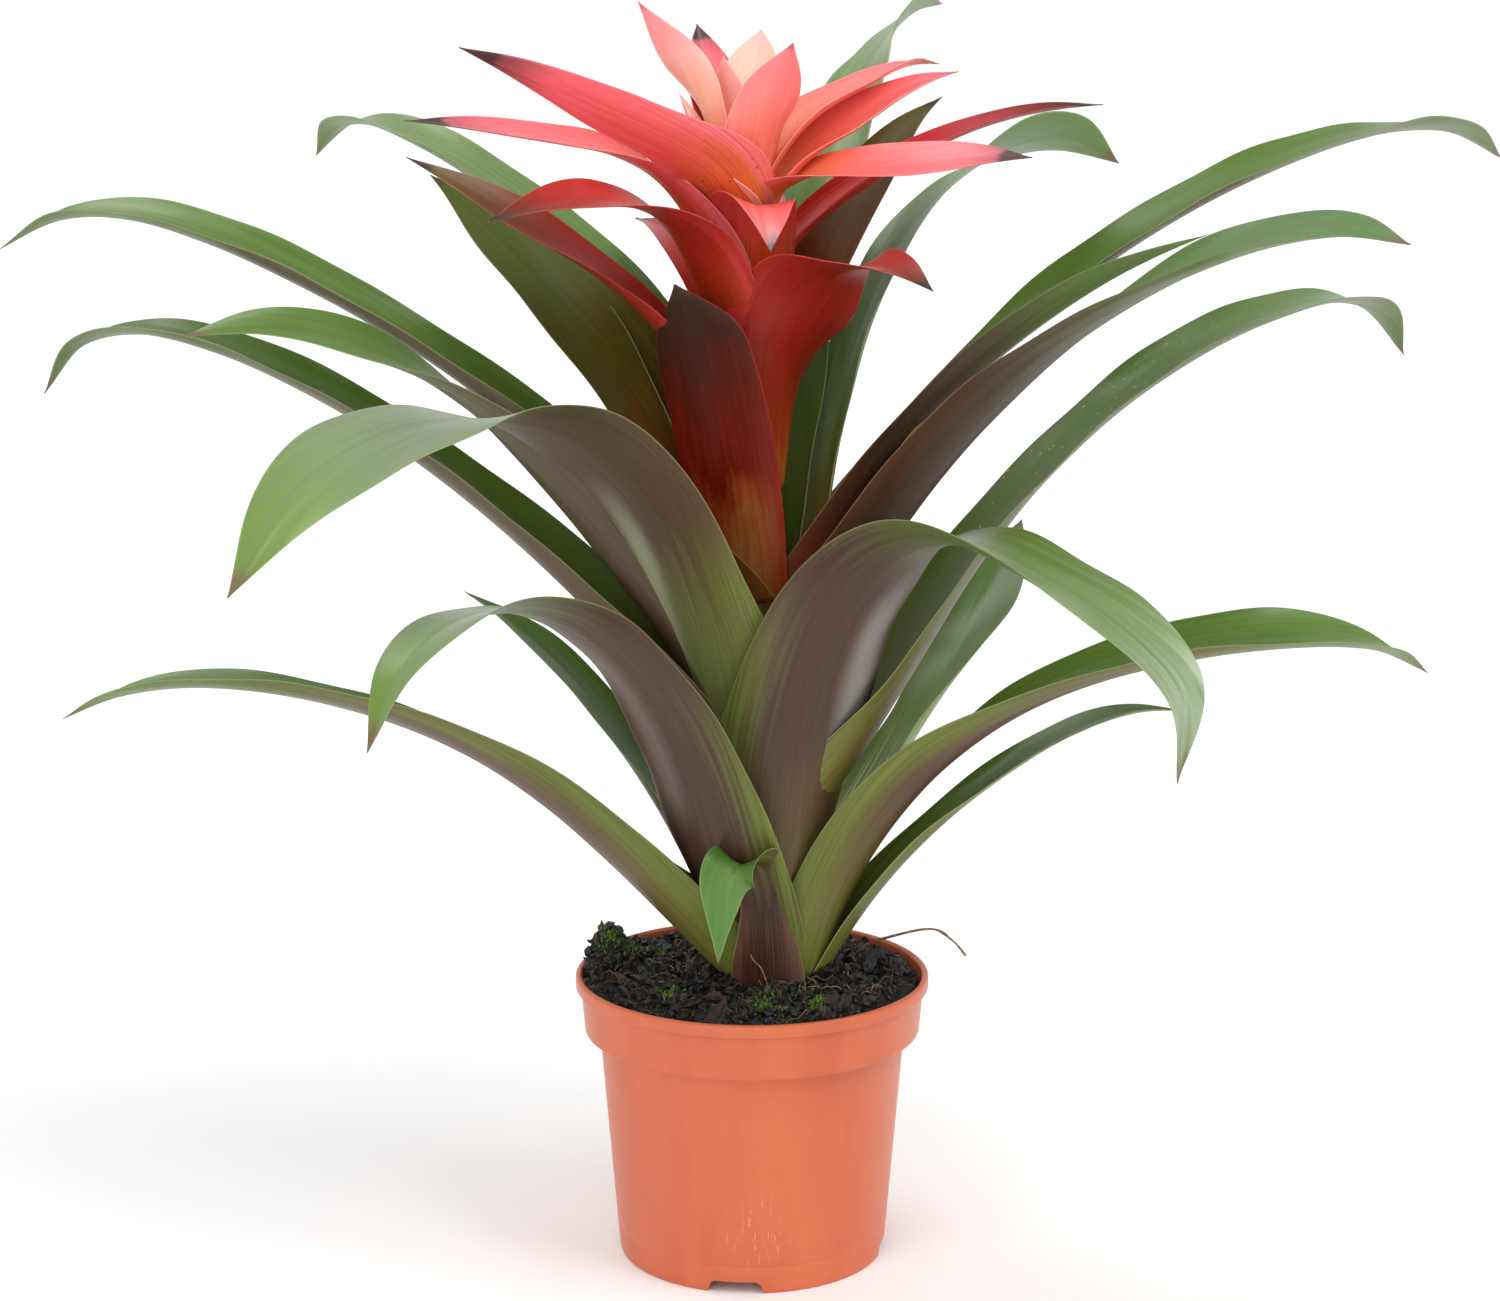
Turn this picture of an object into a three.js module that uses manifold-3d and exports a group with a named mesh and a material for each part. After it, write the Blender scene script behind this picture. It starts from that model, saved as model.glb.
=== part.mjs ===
// A potted guzmania: a plastic nursery pot full of peat, a short stem, a rosette of strap leaves that
// clasp the stem with their sheaths and arch outwards, and a head of coloured bracts at the top.
// Millimetres, +Z up, origin on the floor at the middle of the pot's foot, the front towards -Y.
import * as THREE from "three";
import { mergeVertices } from "three/addons/utils/BufferGeometryUtils.js";
import Module from "manifold-3d";

const wasm = await Module();
wasm.setup();

// Driving dimensions of the pot, outside sizes.
const POT_HEIGHT = 98;
const LIP_RADIUS = 60;
const LIP_HEIGHT = 4.6;
const LIP_WALL = 2.3;
const LIP_ROUND = 0.8;
const BAND_TOP_RADIUS = 58.3;
const BAND_FOOT_RADIUS = 57;
const BAND_FOOT_HEIGHT = 78.6;
const BODY_TOP_RADIUS = 52;
const FOOT_RADIUS = 45.5;
const POT_WALL = 1.5;
const EDGE = 0.6;
const FOOT_RING = 2.8;
const FLOOR_HEIGHT = 5.5;
const FLOOR_THICKNESS = 1.6;
const GATE_RADIUS = 6;
const POT_SIDES = 36;
const NOTCH_COUNT = 4;
const NOTCH_WIDTH_TOP = 15.5;
const NOTCH_WIDTH_FOOT = 20;
const NOTCH_HEIGHT = 4.2;
const NOTCH_DEPTH = 8;
const NOTCH_TURN = -97;
const CUT_CLEARANCE = 1;
const DRAIN_COUNT = 6;
const DRAIN_RADIUS = 4;
const DRAIN_CIRCLE = 27;
const DRAIN_DRILL = 20;
const DRAIN_SIDES = 12;

// Peat, with a mound around the stem and a clump that stands above the rim at the left.
const GAP = 0.3;
const SOIL_RIM_HEIGHT = 95.3;
const SOIL_MOUND_HEIGHT = 102;
const MOUND_SPREAD = 33;
const SOIL_LUMP = 1.1;
const SOIL_RIM_LUMP = 0.4;
const LUMP_WAVES = { x: 0.31, y: 0.37, startX: 1.7, startY: 0.6 };
const RIPPLE_WAVES = { x: 0.83, y: 0.71, share: 0.6 };
const SOIL_CENTRE = 4;
const SOIL_RINGS = 6;
const SOIL_SPOKES = 28;
const CLUMP_CENTRE = new THREE.Vector2(-52, 12);
const CLUMP_HEIGHT = 12;
const CLUMP_SPREAD = 14;

// Stem, a slender cone that leans a little to the left.
const STEM_FOOT = new THREE.Vector3(7.5, 0, 90);
const STEM_HEAD = new THREE.Vector3(-5, 0, 385);
const STEM_FOOT_RADIUS = 15;
const STEM_HEAD_RADIUS = 5;
const STEM_BOTTOM = 62;
const STEM_TOP = 374;
const STEM_SIDES = 16;
const STEM_LEVELS = [105, 200, 300];
const STEM_CHAMFER = 3;
const STEM_CROWN_RADIUS = 2.5;

// Blades: steps along, columns across, thickness, usual outline and half angle of the cross-section's arc.
const TIP_WIDTH = 1.2;
const SHEATH_CLEARANCE = 0.8;
const WIDEST_CLASP = 115;
const BLADE_GAP = 0.5;
const SMOOTHING = 0.1;
const LEAF = {
  steps: 10,
  columns: 4,
  thickness: 1.0,
  outline: [1.5, 1.35, 1.12, 1.0, 0.95, 0.72, 0],
  cup: [80, 55, 40, 34, 30, 30],
};
const BRACT = {
  steps: 8,
  columns: 4,
  thickness: 0.9,
  outline: [0.62, 0.95, 1.0, 0.82, 0.52, 0],
  cup: [75, 50, 35, 30, 30],
};

// One row a leaf or bract. azimuth is the direction in which it leaves the stem (0 right, 90 back, 270
// front), root the height of its foot and out how far the foot stands off the stem. rise is its slope
// above the level, turn how far it has swung aside and roll how far it is rolled about its midrib, all in
// degrees at even steps from root to tip. curl scales the curl of its cross-section.
const LEAVES = [
  { name: "leaf_left_low", azimuth: 184, root: 97, out: 1.5, length: 274, width: 36,
    rise: [48, 42, 19, 0, -30], turn: [0, -12, -15, -35], roll: [0, -22, -18, -4, 0], curl: 1.1,
    outline: [1.6, 1.45, 1.22, 1.02, 0.9, 0.7, 0] },
  { name: "leaf_front_left_low", azimuth: 226, root: 98, out: 0.7, length: 260, width: 36,
    rise: [78, 69, 43, 0, -76], turn: [0, 0, 0, 2], roll: [0, -10, -8, -12, 0], curl: 0.55,
    outline: [1.5, 1.35, 1.12, 1.0, 1.05, 0.85, 0] },
  { name: "leaf_front_left", azimuth: 226, root: 165, out: 0, length: 324, width: 38,
    rise: [74, 63, 18.5, -11, -34], turn: [0, 5, 8, 28], roll: [0, -2, -16, 18, 22], curl: 0.5 },
  { name: "leaf_left_mid", azimuth: 176, root: 159, out: 0, length: 329, width: 32,
    rise: [63, 44.5, 32.5, 11.5, -50], turn: [0, -8, -10, -50], roll: [0, 0, 0, 4, 4], curl: 1.35,
    outline: [1.6, 1.45, 1.22, 1.05, 0.92, 0.58, 0] },
  { name: "leaf_left_top", azimuth: 171, root: 192, out: 0, length: 338, width: 33,
    rise: [66, 46, 29, 15, -31], turn: [0, -2, -10, -26], roll: [0, 0, 0, 6, 14], curl: 1.45 },
  { name: "leaf_left_short", azimuth: 193, root: 171, out: 0, length: 251, width: 29,
    rise: [71, 57, 46, 24, -12], turn: [0, 0, 6, 20], roll: [0, -24, -22, 24, 32], curl: 0.95 },
  { name: "leaf_back_left_top", azimuth: 128, root: 221, out: 0, length: 302, width: 31,
    rise: [77, 57, 33, 16, -34], turn: [0, 14, 16, -18], roll: [0], curl: 1 },
  { name: "leaf_inner_left", azimuth: 161, root: 225, out: 0, length: 181, width: 37,
    rise: [79, 63, 49, 40, 34], turn: [0, -7], roll: [0, 14, 30, 22, 17], curl: 0.8,
    outline: [1.8, 1.75, 1.4, 1.05, 0.95, 0.7, 0] },
  { name: "leaf_back_left_low", azimuth: 156, root: 98, out: 0.2, length: 162, width: 27,
    rise: [72, 61, 53, 42, 25], turn: [0, 5], roll: [0, -8, -6, 0, 0], curl: 0.9 },
  { name: "leaf_front_right", azimuth: 295, root: 122, out: 0, length: 302, width: 45,
    rise: [88, 76, 57, 30.5, -19, -28, -120], turn: [0, 7, 20, 40], roll: [0, 8, 10, 3, -16], curl: 0.85 },
  { name: "leaf_right_low", azimuth: 353, root: 98, out: 1, length: 274, width: 38,
    rise: [77, 51, 22, 2, -31], turn: [0, 0, 12, 50], roll: [0, 18, 0, -8, -8], curl: 1.3,
    outline: [1.5, 1.35, 1.12, 1.0, 1.05, 0.85, 0] },
  { name: "leaf_right_low_narrow", azimuth: 5, root: 98, out: 2.3, length: 158, width: 21,
    rise: [62, 50, 38, 26, -8], turn: [0], roll: [0, 0, -5], curl: 0.95 },
  { name: "leaf_right_mid", azimuth: 13, root: 147, out: 0, length: 346, width: 35,
    rise: [54, 58.5, 36.5, 8, -42], turn: [0, 0, 16, 52], roll: [0, 4, -6], curl: 0.8,
    outline: [1.9, 1.75, 1.3, 1.08, 1.05, 0.75, 0] },
  { name: "leaf_right_top", azimuth: 18, root: 204, out: 0, length: 386, width: 34,
    rise: [64, 50, 28, 8, -22], turn: [0, -2, 12, 40], roll: [0, 8, 0, 2, 8], curl: 0.95 },
  { name: "leaf_right_upper", azimuth: 330, root: 184, out: 0, length: 304, width: 40,
    rise: [69, 55, 40, 21, -9], turn: [0, -6, -4, -40], roll: [0, -2, 2, -19, -14], curl: 1 },
  { name: "leaf_right_dark", azimuth: 6, root: 212, out: 0, length: 197, width: 33,
    rise: [73, 57, 44, 33, 18], turn: [0, -5, -4, 0], roll: [0, 15, 22, 22, 14], curl: 0.9 },
  { name: "leaf_right_back_low", azimuth: 48, root: 98, out: 1.7, length: 206, width: 34,
    rise: [68, 50, 42, 32, 18], turn: [0, -5, 12, 26], roll: [0, 24, 26, 2, 0], curl: 0.85,
    outline: [1.5, 1.6, 1.35, 1.0, 0.9, 0.62, 0] },
  { name: "leaf_back_right_top", azimuth: 72, root: 219, out: 0, length: 333, width: 28,
    rise: [83, 66, 42, 20, -2], turn: [0], roll: [0, 3, 3, 37, 39], curl: 1 },
  { name: "leaf_back_right", azimuth: 35, root: 170, out: 0, length: 302, width: 29,
    rise: [82, 83, 66, 21, -28], turn: [0, -3, 0, 18], roll: [0, 15, 8, 28, 44], curl: 0.7,
    outline: [1.5, 1.35, 1.12, 1.0, 1.1, 0.95, 0] },
  { name: "leaf_front_short", azimuth: 266, root: 97, out: 6.4, length: 90, width: 26,
    rise: [84, 83, 80, 60, -70, -86, -88], turn: [0, -40, -62, -66], roll: [0, -40, -62, -60, 60, 68, 68],
    curl: 0.6, outline: [1, 0.95, 0.75, 0.6, 0.85, 0.8, 0.52, 0.24, 0] },
  { name: "leaf_back", azimuth: 94, root: 180, out: 0, length: 265, width: 30,
    rise: [80, 66, 44, 8, -40], turn: [0, 2, 4], roll: [0, 4], curl: 0.9 },
  { name: "leaf_back_mid", azimuth: 112, root: 140, out: 0, length: 250, width: 30,
    rise: [78, 60, 34, -6, -55], turn: [0, -6, -10], roll: [0, -4], curl: 0.9 },
  { name: "leaf_back_low", azimuth: 88, root: 112, out: 0, length: 225, width: 28,
    rise: [76, 58, 32, -8, -60], turn: [0, 10], roll: [0], curl: 0.9 },
];
const BRACTS = [
  { name: "bract_front_dark", azimuth: 236, root: 207, out: 0, length: 128, width: 40,
    rise: [85, 83, 80, 77, 68], turn: [0, -10, -26, -36, -46], roll: [0, -10, -26, -36, -46], curl: 0.8,
    outline: [0.78, 0.86, 0.92, 0.97, 1, 1.02, 0.98, 0.82, 0] },
  { name: "bract_front_right", azimuth: 311, root: 264, out: 0, length: 130, width: 44,
    rise: [87, 84, 47, 6, -26], turn: [0], roll: [0, -4, 32, -6, -8], curl: 1 },
  { name: "bract_front_left", azimuth: 225, root: 295, out: 0, length: 149, width: 33,
    rise: [87, 64, 21, -1, -14], turn: [0, 6, 0], roll: [0, 3, 13, 20, 15], curl: 0.95 },
  { name: "bract_left_low", azimuth: 176, root: 273, out: 0, length: 147, width: 30,
    rise: [79, 56, 38, 32, 26], turn: [0, 9, 8, 6], roll: [0, 5, 11, 28, 30], curl: 1 },
  { name: "bract_front_centre", azimuth: 274, root: 316, out: 0, length: 72, width: 33,
    rise: [82, 85, 60, -20, -75], turn: [0, 0, 5, 12, 12], roll: [0, 0, 0, 10, 10], curl: 1.1,
    outline: [0.85, 1, 1.05, 0.9, 0.55, 0] },
  { name: "bract_right", azimuth: 339, root: 350, out: 0, length: 99, width: 31,
    rise: [77, 15, 5, 6, -2], turn: [0], roll: [0, -8, -20, -27, -26], curl: 0.5 },
  { name: "bract_right_up", azimuth: 26, root: 345, out: 0, length: 95, width: 28,
    rise: [78, 49, 29, 25, 8], turn: [0], roll: [0, -2, -16, -12, -12], curl: 1 },
  { name: "bract_right_back_up", azimuth: 35, root: 355, out: 0, length: 94, width: 28,
    rise: [79, 47, 22, 23, -10], turn: [0], roll: [0, 6], curl: 1 },
  { name: "bract_right_back_low", azimuth: 16, root: 330, out: 0, length: 136, width: 23,
    rise: [61, 35.5, 26, 13, 0], turn: [0, 2], roll: [0, -6, -6, -12], curl: 1 },
  { name: "bract_right_dark", azimuth: 42, root: 285, out: 0, length: 135, width: 36,
    rise: [74, 61, 54, 45, 23], turn: [0, 2], roll: [0, -2], curl: 0.95 },
  { name: "bract_left_up", azimuth: 265, root: 346.5, out: 3, length: 121, width: 25,
    rise: [66, 32.5, 24, 26, 18], turn: [0, -50, -68, -68], roll: [0, -36, -52, -48, -44], curl: 0.8,
    outline: [1.4, 1.3, 0.86, 0.7, 0.44, 0] },
  { name: "bract_left", azimuth: 199, root: 322.5, out: 0, length: 140, width: 28,
    rise: [79, 56.5, 15, 9, 4], turn: [0, 16], roll: [0, 4, 14, 20, 18], curl: 0.8,
    outline: [1.1, 1.2, 1.0, 0.8, 0.5, 0] },
  { name: "bract_centre_left", azimuth: 204, root: 340, out: 0, length: 88, width: 29,
    rise: [84, 88, 70, 54, 55], turn: [0], roll: [0, 4, 12, -26, -23], curl: 0.95,
    outline: [0.4, 0.75, 1, 0.85, 0.55, 0] },
  { name: "bract_centre_left_small", azimuth: 236, root: 344, out: 0, length: 52, width: 30,
    rise: [80, 70, 64, 66, 66], turn: [0, -22, -34], roll: [0, 9, 27, 32, 30], curl: 1 },
  { name: "bract_centre_back_left", azimuth: 126, root: 365, out: 0, length: 52, width: 25,
    rise: [78, 73, 68, 65, 65], turn: [0, -2, -6], roll: [0, 2, 6], curl: 1 },
  { name: "bract_centre_right", azimuth: 70, root: 370, out: 0, length: 45, width: 27,
    rise: [79, 77, 71, 63, 55], turn: [0], roll: [0], curl: 1 },
  { name: "bract_centre_front", azimuth: 288, root: 346, out: 0, length: 66, width: 34,
    rise: [81, 78, 72, 62, 61], turn: [0, 24, 26, 20], roll: [0, -2, -5, 16, 18], curl: 1 },
  { name: "bract_centre", azimuth: 244, root: 358, out: 0, length: 46, width: 24,
    rise: [86, 87, 85, 80, 74], turn: [0], roll: [0, 0, 20, 10], curl: 1 },
  { name: "bract_centre_back", azimuth: 75, root: 352, out: 0, length: 58, width: 20,
    rise: [82, 80, 76, 66, 50], turn: [0], roll: [0], curl: 1 },
  { name: "bract_back", azimuth: 92, root: 305, out: 0, length: 118, width: 32,
    rise: [80, 60, 38, 16, 0], turn: [0, 5], roll: [0, 4], curl: 1 },
  { name: "bract_back_left", azimuth: 125, root: 300, out: 0, length: 88, width: 32,
    rise: [80, 58, 36, 14, 0], turn: [0, -5], roll: [0, -4], curl: 1 },
];

// Dry root that lies across the rim at the right, through these points.
const ROOT_THICKNESS = 1.2;
const ROOT_TAPER = 0.3;
const ROOT_SIDES = 6;
const ROOT_STEPS = 12;
const ROOT_ROUTE = [
  new THREE.Vector3(33, 12, 95),
  new THREE.Vector3(38, 10, 103),
  new THREE.Vector3(48, 5, 108.5),
  new THREE.Vector3(61, 0, 112.5),
  new THREE.Vector3(68, -2, 109),
  new THREE.Vector3(72.5, -3, 104),
];

function material(color, roughness) {
  return new THREE.MeshStandardMaterial({ color, roughness, metalness: 0 });
}

const MATERIALS = {
  pot: material(0xd8785a, 0.45),
  soil: material(0x2c231d, 1),
  stem: material(0x8a9a58, 0.6),
  leaf: material(0x5c8a45, 0.4),
  bract_red: material(0xd8473f, 0.4),
  bract_pink: material(0xf08a86, 0.4),
  bract_dark: material(0x5a2e26, 0.4),
  dry_root: material(0x8b6a4e, 0.9),
};

// Smooth value at s (0 to 1) through evenly spaced values.
function along(values, s) {
  const last = values.length - 1;
  if (last === 0) {
    return values[0];
  }
  const x = Math.min(Math.max(s, 0), 1) * last;
  const i = Math.min(Math.floor(x), last - 1);
  const t = x - i;
  const b = values[i];
  const c = values[i + 1];
  const a = i > 0 ? values[i - 1] : 2 * b - c;
  const d = i + 2 <= last ? values[i + 2] : 2 * c - b;
  return 0.5 * (2 * b + (c - a) * t + (2 * a - 5 * b + 4 * c - d) * t * t + (3 * b - a - 3 * c + d) * t ** 3);
}

function stemShare(z) {
  return (z - STEM_FOOT.z) / (STEM_HEAD.z - STEM_FOOT.z);
}

function stemAxis(z) {
  return STEM_FOOT.clone().lerp(STEM_HEAD, stemShare(z));
}

function stemRadius(z) {
  const share = Math.min(Math.max(stemShare(z), 0), 1);
  return STEM_FOOT_RADIUS + (STEM_HEAD_RADIUS - STEM_FOOT_RADIUS) * share;
}

// A closed solid from points and the triangles between them.
function solid(points, triangles) {
  const vertProperties = new Float32Array(points.flatMap((p) => [p.x, p.y, p.z]));
  const triVerts = new Uint32Array(triangles.flat());
  return new wasm.Manifold(new wasm.Mesh({ numProp: 3, vertProperties, triVerts }));
}

function solidOf(geometry) {
  geometry.deleteAttribute("normal");
  geometry.deleteAttribute("uv");
  const merged = mergeVertices(geometry, 1e-4);
  const vertProperties = new Float32Array(merged.attributes.position.array);
  const triVerts = new Uint32Array(merged.index.array);
  return new wasm.Manifold(new wasm.Mesh({ numProp: 3, vertProperties, triVerts }));
}

function meshOf(body, name, look) {
  const { vertProperties, triVerts } = body.getMesh();
  const indexed = new THREE.BufferGeometry();
  indexed.setAttribute("position", new THREE.BufferAttribute(new Float32Array(vertProperties), 3));
  indexed.setIndex(new THREE.BufferAttribute(new Uint32Array(triVerts), 1));
  const geometry = indexed.toNonIndexed();
  geometry.computeVertexNormals();
  const mesh = new THREE.Mesh(geometry, look);
  mesh.name = name;
  return mesh;
}

// Skins a grid of points, rows by columns, on both sides of a sheet into one closed solid. upper and
// lower hold the same grid on the two faces.
function sheet(upper, lower) {
  const rows = upper.length;
  const columns = upper[0].length;
  const points = [...upper.flat(), ...lower.flat()];
  const top = (i, j) => i * columns + j;
  const low = (i, j) => rows * columns + i * columns + j;
  const triangles = [];
  const quad = (a, b, c, d) => triangles.push([a, b, c], [a, c, d]);
  for (let i = 0; i + 1 < rows; i++) {
    for (let j = 0; j + 1 < columns; j++) {
      quad(top(i, j), top(i, j + 1), top(i + 1, j + 1), top(i + 1, j));
      triangles.push([low(i, j), low(i + 1, j + 1), low(i, j + 1)]);
      triangles.push([low(i, j), low(i + 1, j), low(i + 1, j + 1)]);
    }
    const last = columns - 1;
    quad(low(i, last), low(i + 1, last), top(i + 1, last), top(i, last));
    quad(low(i + 1, 0), low(i, 0), top(i, 0), top(i + 1, 0));
  }
  const end = rows - 1;
  for (let j = 0; j + 1 < columns; j++) {
    quad(low(0, j), low(0, j + 1), top(0, j + 1), top(0, j));
    quad(low(end, j + 1), low(end, j), top(end, j), top(end, j + 1));
  }
  return solid(points, triangles);
}

// Midrib of a blade: at each step its place, the way it runs, the way across and the way up.
function midrib(row, steps) {
  const heading = THREE.MathUtils.degToRad(row.azimuth);
  const stand = stemRadius(row.root) + SHEATH_CLEARANCE + row.out;
  const place = stemAxis(row.root);
  place.add(new THREE.Vector3(Math.cos(heading) * stand, Math.sin(heading) * stand, 0));
  const stations = [];
  for (let i = 0; i <= steps; i++) {
    const s = i / steps;
    const rise = THREE.MathUtils.degToRad(along(row.rise, s));
    const head = heading + THREE.MathUtils.degToRad(along(row.turn, s));
    const roll = THREE.MathUtils.degToRad(along(row.roll, s));
    const level = new THREE.Vector3(Math.cos(head), Math.sin(head), 0);
    const run = level.clone().multiplyScalar(Math.cos(rise));
    run.z = Math.sin(rise);
    const across = new THREE.Vector3(Math.sin(head), -Math.cos(head), 0);
    const up = level.clone().multiplyScalar(-Math.sin(rise));
    up.z = Math.cos(rise);
    across.applyAxisAngle(run, -roll);
    up.applyAxisAngle(run, -roll);
    if (i > 0) {
      const before = stations[i - 1].run;
      place.addScaledVector(before.clone().add(run), row.length / steps / 2);
    }
    stations.push({ s, place: place.clone(), run, across, up });
  }
  return stations;
}

// One strap blade, its cross-section an arc that curls towards the stem. grow thickens it all round,
// for the room that its neighbours leave it.
function blade(row, kind, grow) {
  const outline = row.outline ?? kind.outline;
  const stand = stemRadius(row.root) + SHEATH_CLEARANCE + row.out;
  const half = kind.thickness / 2 + grow;
  const clasp = Math.min(THREE.MathUtils.radToDeg((row.width * outline[0]) / 2 / stand), WIDEST_CLASP);
  const cup = [clasp, ...kind.cup.slice(1).map((angle) => angle * row.curl)];
  const stations = midrib(row, kind.steps);
  stations[0].place.addScaledVector(stations[0].run, -grow);
  stations.at(-1).place.addScaledVector(stations.at(-1).run, grow);
  const upper = [];
  const lower = [];
  for (const { s, place, across, up } of stations) {
    const width = Math.max(row.width * along(outline, s), TIP_WIDTH);
    const bend = THREE.MathUtils.degToRad(along(cup, s));
    const radius = width / 2 / bend;
    const reach = bend + grow / radius;
    const above = [];
    const below = [];
    for (let j = 0; j <= kind.columns; j++) {
      const angle = reach * ((2 * j) / kind.columns - 1);
      const point = place.clone();
      point.addScaledVector(across, radius * Math.sin(angle));
      point.addScaledVector(up, radius * (1 - Math.cos(angle)));
      const normal = up.clone().multiplyScalar(Math.cos(angle));
      normal.addScaledVector(across, -Math.sin(angle));
      above.push(point.clone().addScaledVector(normal, half));
      below.push(point.clone().addScaledVector(normal, -half));
    }
    upper.push(above);
    lower.push(below);
  }
  return sheet(upper, lower);
}

// Turned solid from a closed profile of [radius, height] pairs, taken anticlockwise.
function turned(profile, sides) {
  const points = profile.map(([r, z]) => new THREE.Vector2(r, z));
  points.push(points[0].clone());
  const geometry = new THREE.LatheGeometry(points, sides);
  geometry.rotateX(Math.PI / 2);
  return solidOf(geometry);
}

function bodyRadius(z) {
  return FOOT_RADIUS + ((BODY_TOP_RADIUS - FOOT_RADIUS) * z) / BAND_FOOT_HEIGHT;
}

function potBody() {
  const inside = FLOOR_HEIGHT + FLOOR_THICKNESS;
  const lipFoot = POT_HEIGHT - LIP_HEIGHT;
  const ring = FOOT_RADIUS - FOOT_RING;
  const shell = turned([
    [0, 0],
    [GATE_RADIUS, 0],
    [GATE_RADIUS - EDGE, FLOOR_HEIGHT],
    [ring, FLOOR_HEIGHT],
    [ring, 0],
    [FOOT_RADIUS, 0],
    [BODY_TOP_RADIUS, BAND_FOOT_HEIGHT - EDGE],
    [BAND_FOOT_RADIUS - EDGE, BAND_FOOT_HEIGHT - EDGE / 2],
    [BAND_FOOT_RADIUS, BAND_FOOT_HEIGHT],
    [BAND_TOP_RADIUS, lipFoot],
    [LIP_RADIUS, lipFoot + EDGE],
    [LIP_RADIUS, POT_HEIGHT - LIP_ROUND],
    [LIP_RADIUS - LIP_ROUND, POT_HEIGHT],
    [LIP_RADIUS - LIP_WALL + LIP_ROUND, POT_HEIGHT],
    [LIP_RADIUS - LIP_WALL, POT_HEIGHT - LIP_ROUND],
    [BAND_TOP_RADIUS - POT_WALL, lipFoot],
    [BAND_FOOT_RADIUS - POT_WALL, BAND_FOOT_HEIGHT + POT_WALL],
    [BODY_TOP_RADIUS - POT_WALL, BAND_FOOT_HEIGHT + POT_WALL - EDGE],
    [bodyRadius(inside) - POT_WALL, inside],
    [0, inside],
  ], POT_SIDES);
  let body = shell;
  for (let k = 0; k < NOTCH_COUNT; k++) {
    const turn = NOTCH_TURN + (360 * k) / NOTCH_COUNT;
    body = body.subtract(notch().rotate([0, 0, turn]));
  }
  for (let k = 0; k < DRAIN_COUNT; k++) {
    const drill = new THREE.CylinderGeometry(DRAIN_RADIUS, DRAIN_RADIUS, DRAIN_DRILL, DRAIN_SIDES);
    drill.rotateX(Math.PI / 2);
    drill.translate(DRAIN_CIRCLE, 0, 0);
    body = body.subtract(solidOf(drill).rotate([0, 0, (360 * (k + 0.5)) / DRAIN_COUNT]));
  }
  return body;
}

// Trapezoid block that cuts one notch into the foot ring, lying along +X.
function notch() {
  const outline = new THREE.Shape([
    new THREE.Vector2(-NOTCH_WIDTH_FOOT / 2, -CUT_CLEARANCE),
    new THREE.Vector2(NOTCH_WIDTH_FOOT / 2, -CUT_CLEARANCE),
    new THREE.Vector2(NOTCH_WIDTH_TOP / 2, NOTCH_HEIGHT),
    new THREE.Vector2(-NOTCH_WIDTH_TOP / 2, NOTCH_HEIGHT),
  ]);
  const block = new THREE.ExtrudeGeometry(outline, { depth: NOTCH_DEPTH, bevelEnabled: false });
  block.rotateX(Math.PI / 2);
  block.rotateZ(Math.PI / 2);
  block.translate(FOOT_RADIUS - NOTCH_DEPTH / 2, 0, 0);
  return solidOf(block);
}

// Height of the peat at a place: a mound at the stem, a clump at the left and small lumps all over.
function soilHeight(x, y, edge) {
  const fromStem = Math.hypot(x - STEM_FOOT.x, y - STEM_FOOT.y);
  const mound = (SOIL_MOUND_HEIGHT - SOIL_RIM_HEIGHT) * Math.exp(-((fromStem / MOUND_SPREAD) ** 2));
  const fromClump = Math.hypot(x - CLUMP_CENTRE.x, y - CLUMP_CENTRE.y);
  const clump = CLUMP_HEIGHT * Math.exp(-((fromClump / CLUMP_SPREAD) ** 2));
  const { startX, startY } = LUMP_WAVES;
  const lumps = Math.sin(x * LUMP_WAVES.x + startX) * Math.cos(y * LUMP_WAVES.y - startY);
  const ripples = Math.sin(x * RIPPLE_WAVES.x - y * RIPPLE_WAVES.y) * RIPPLE_WAVES.share;
  return SOIL_RIM_HEIGHT + mound + clump + SOIL_LUMP * (lumps + ripples) * edge;
}

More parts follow.
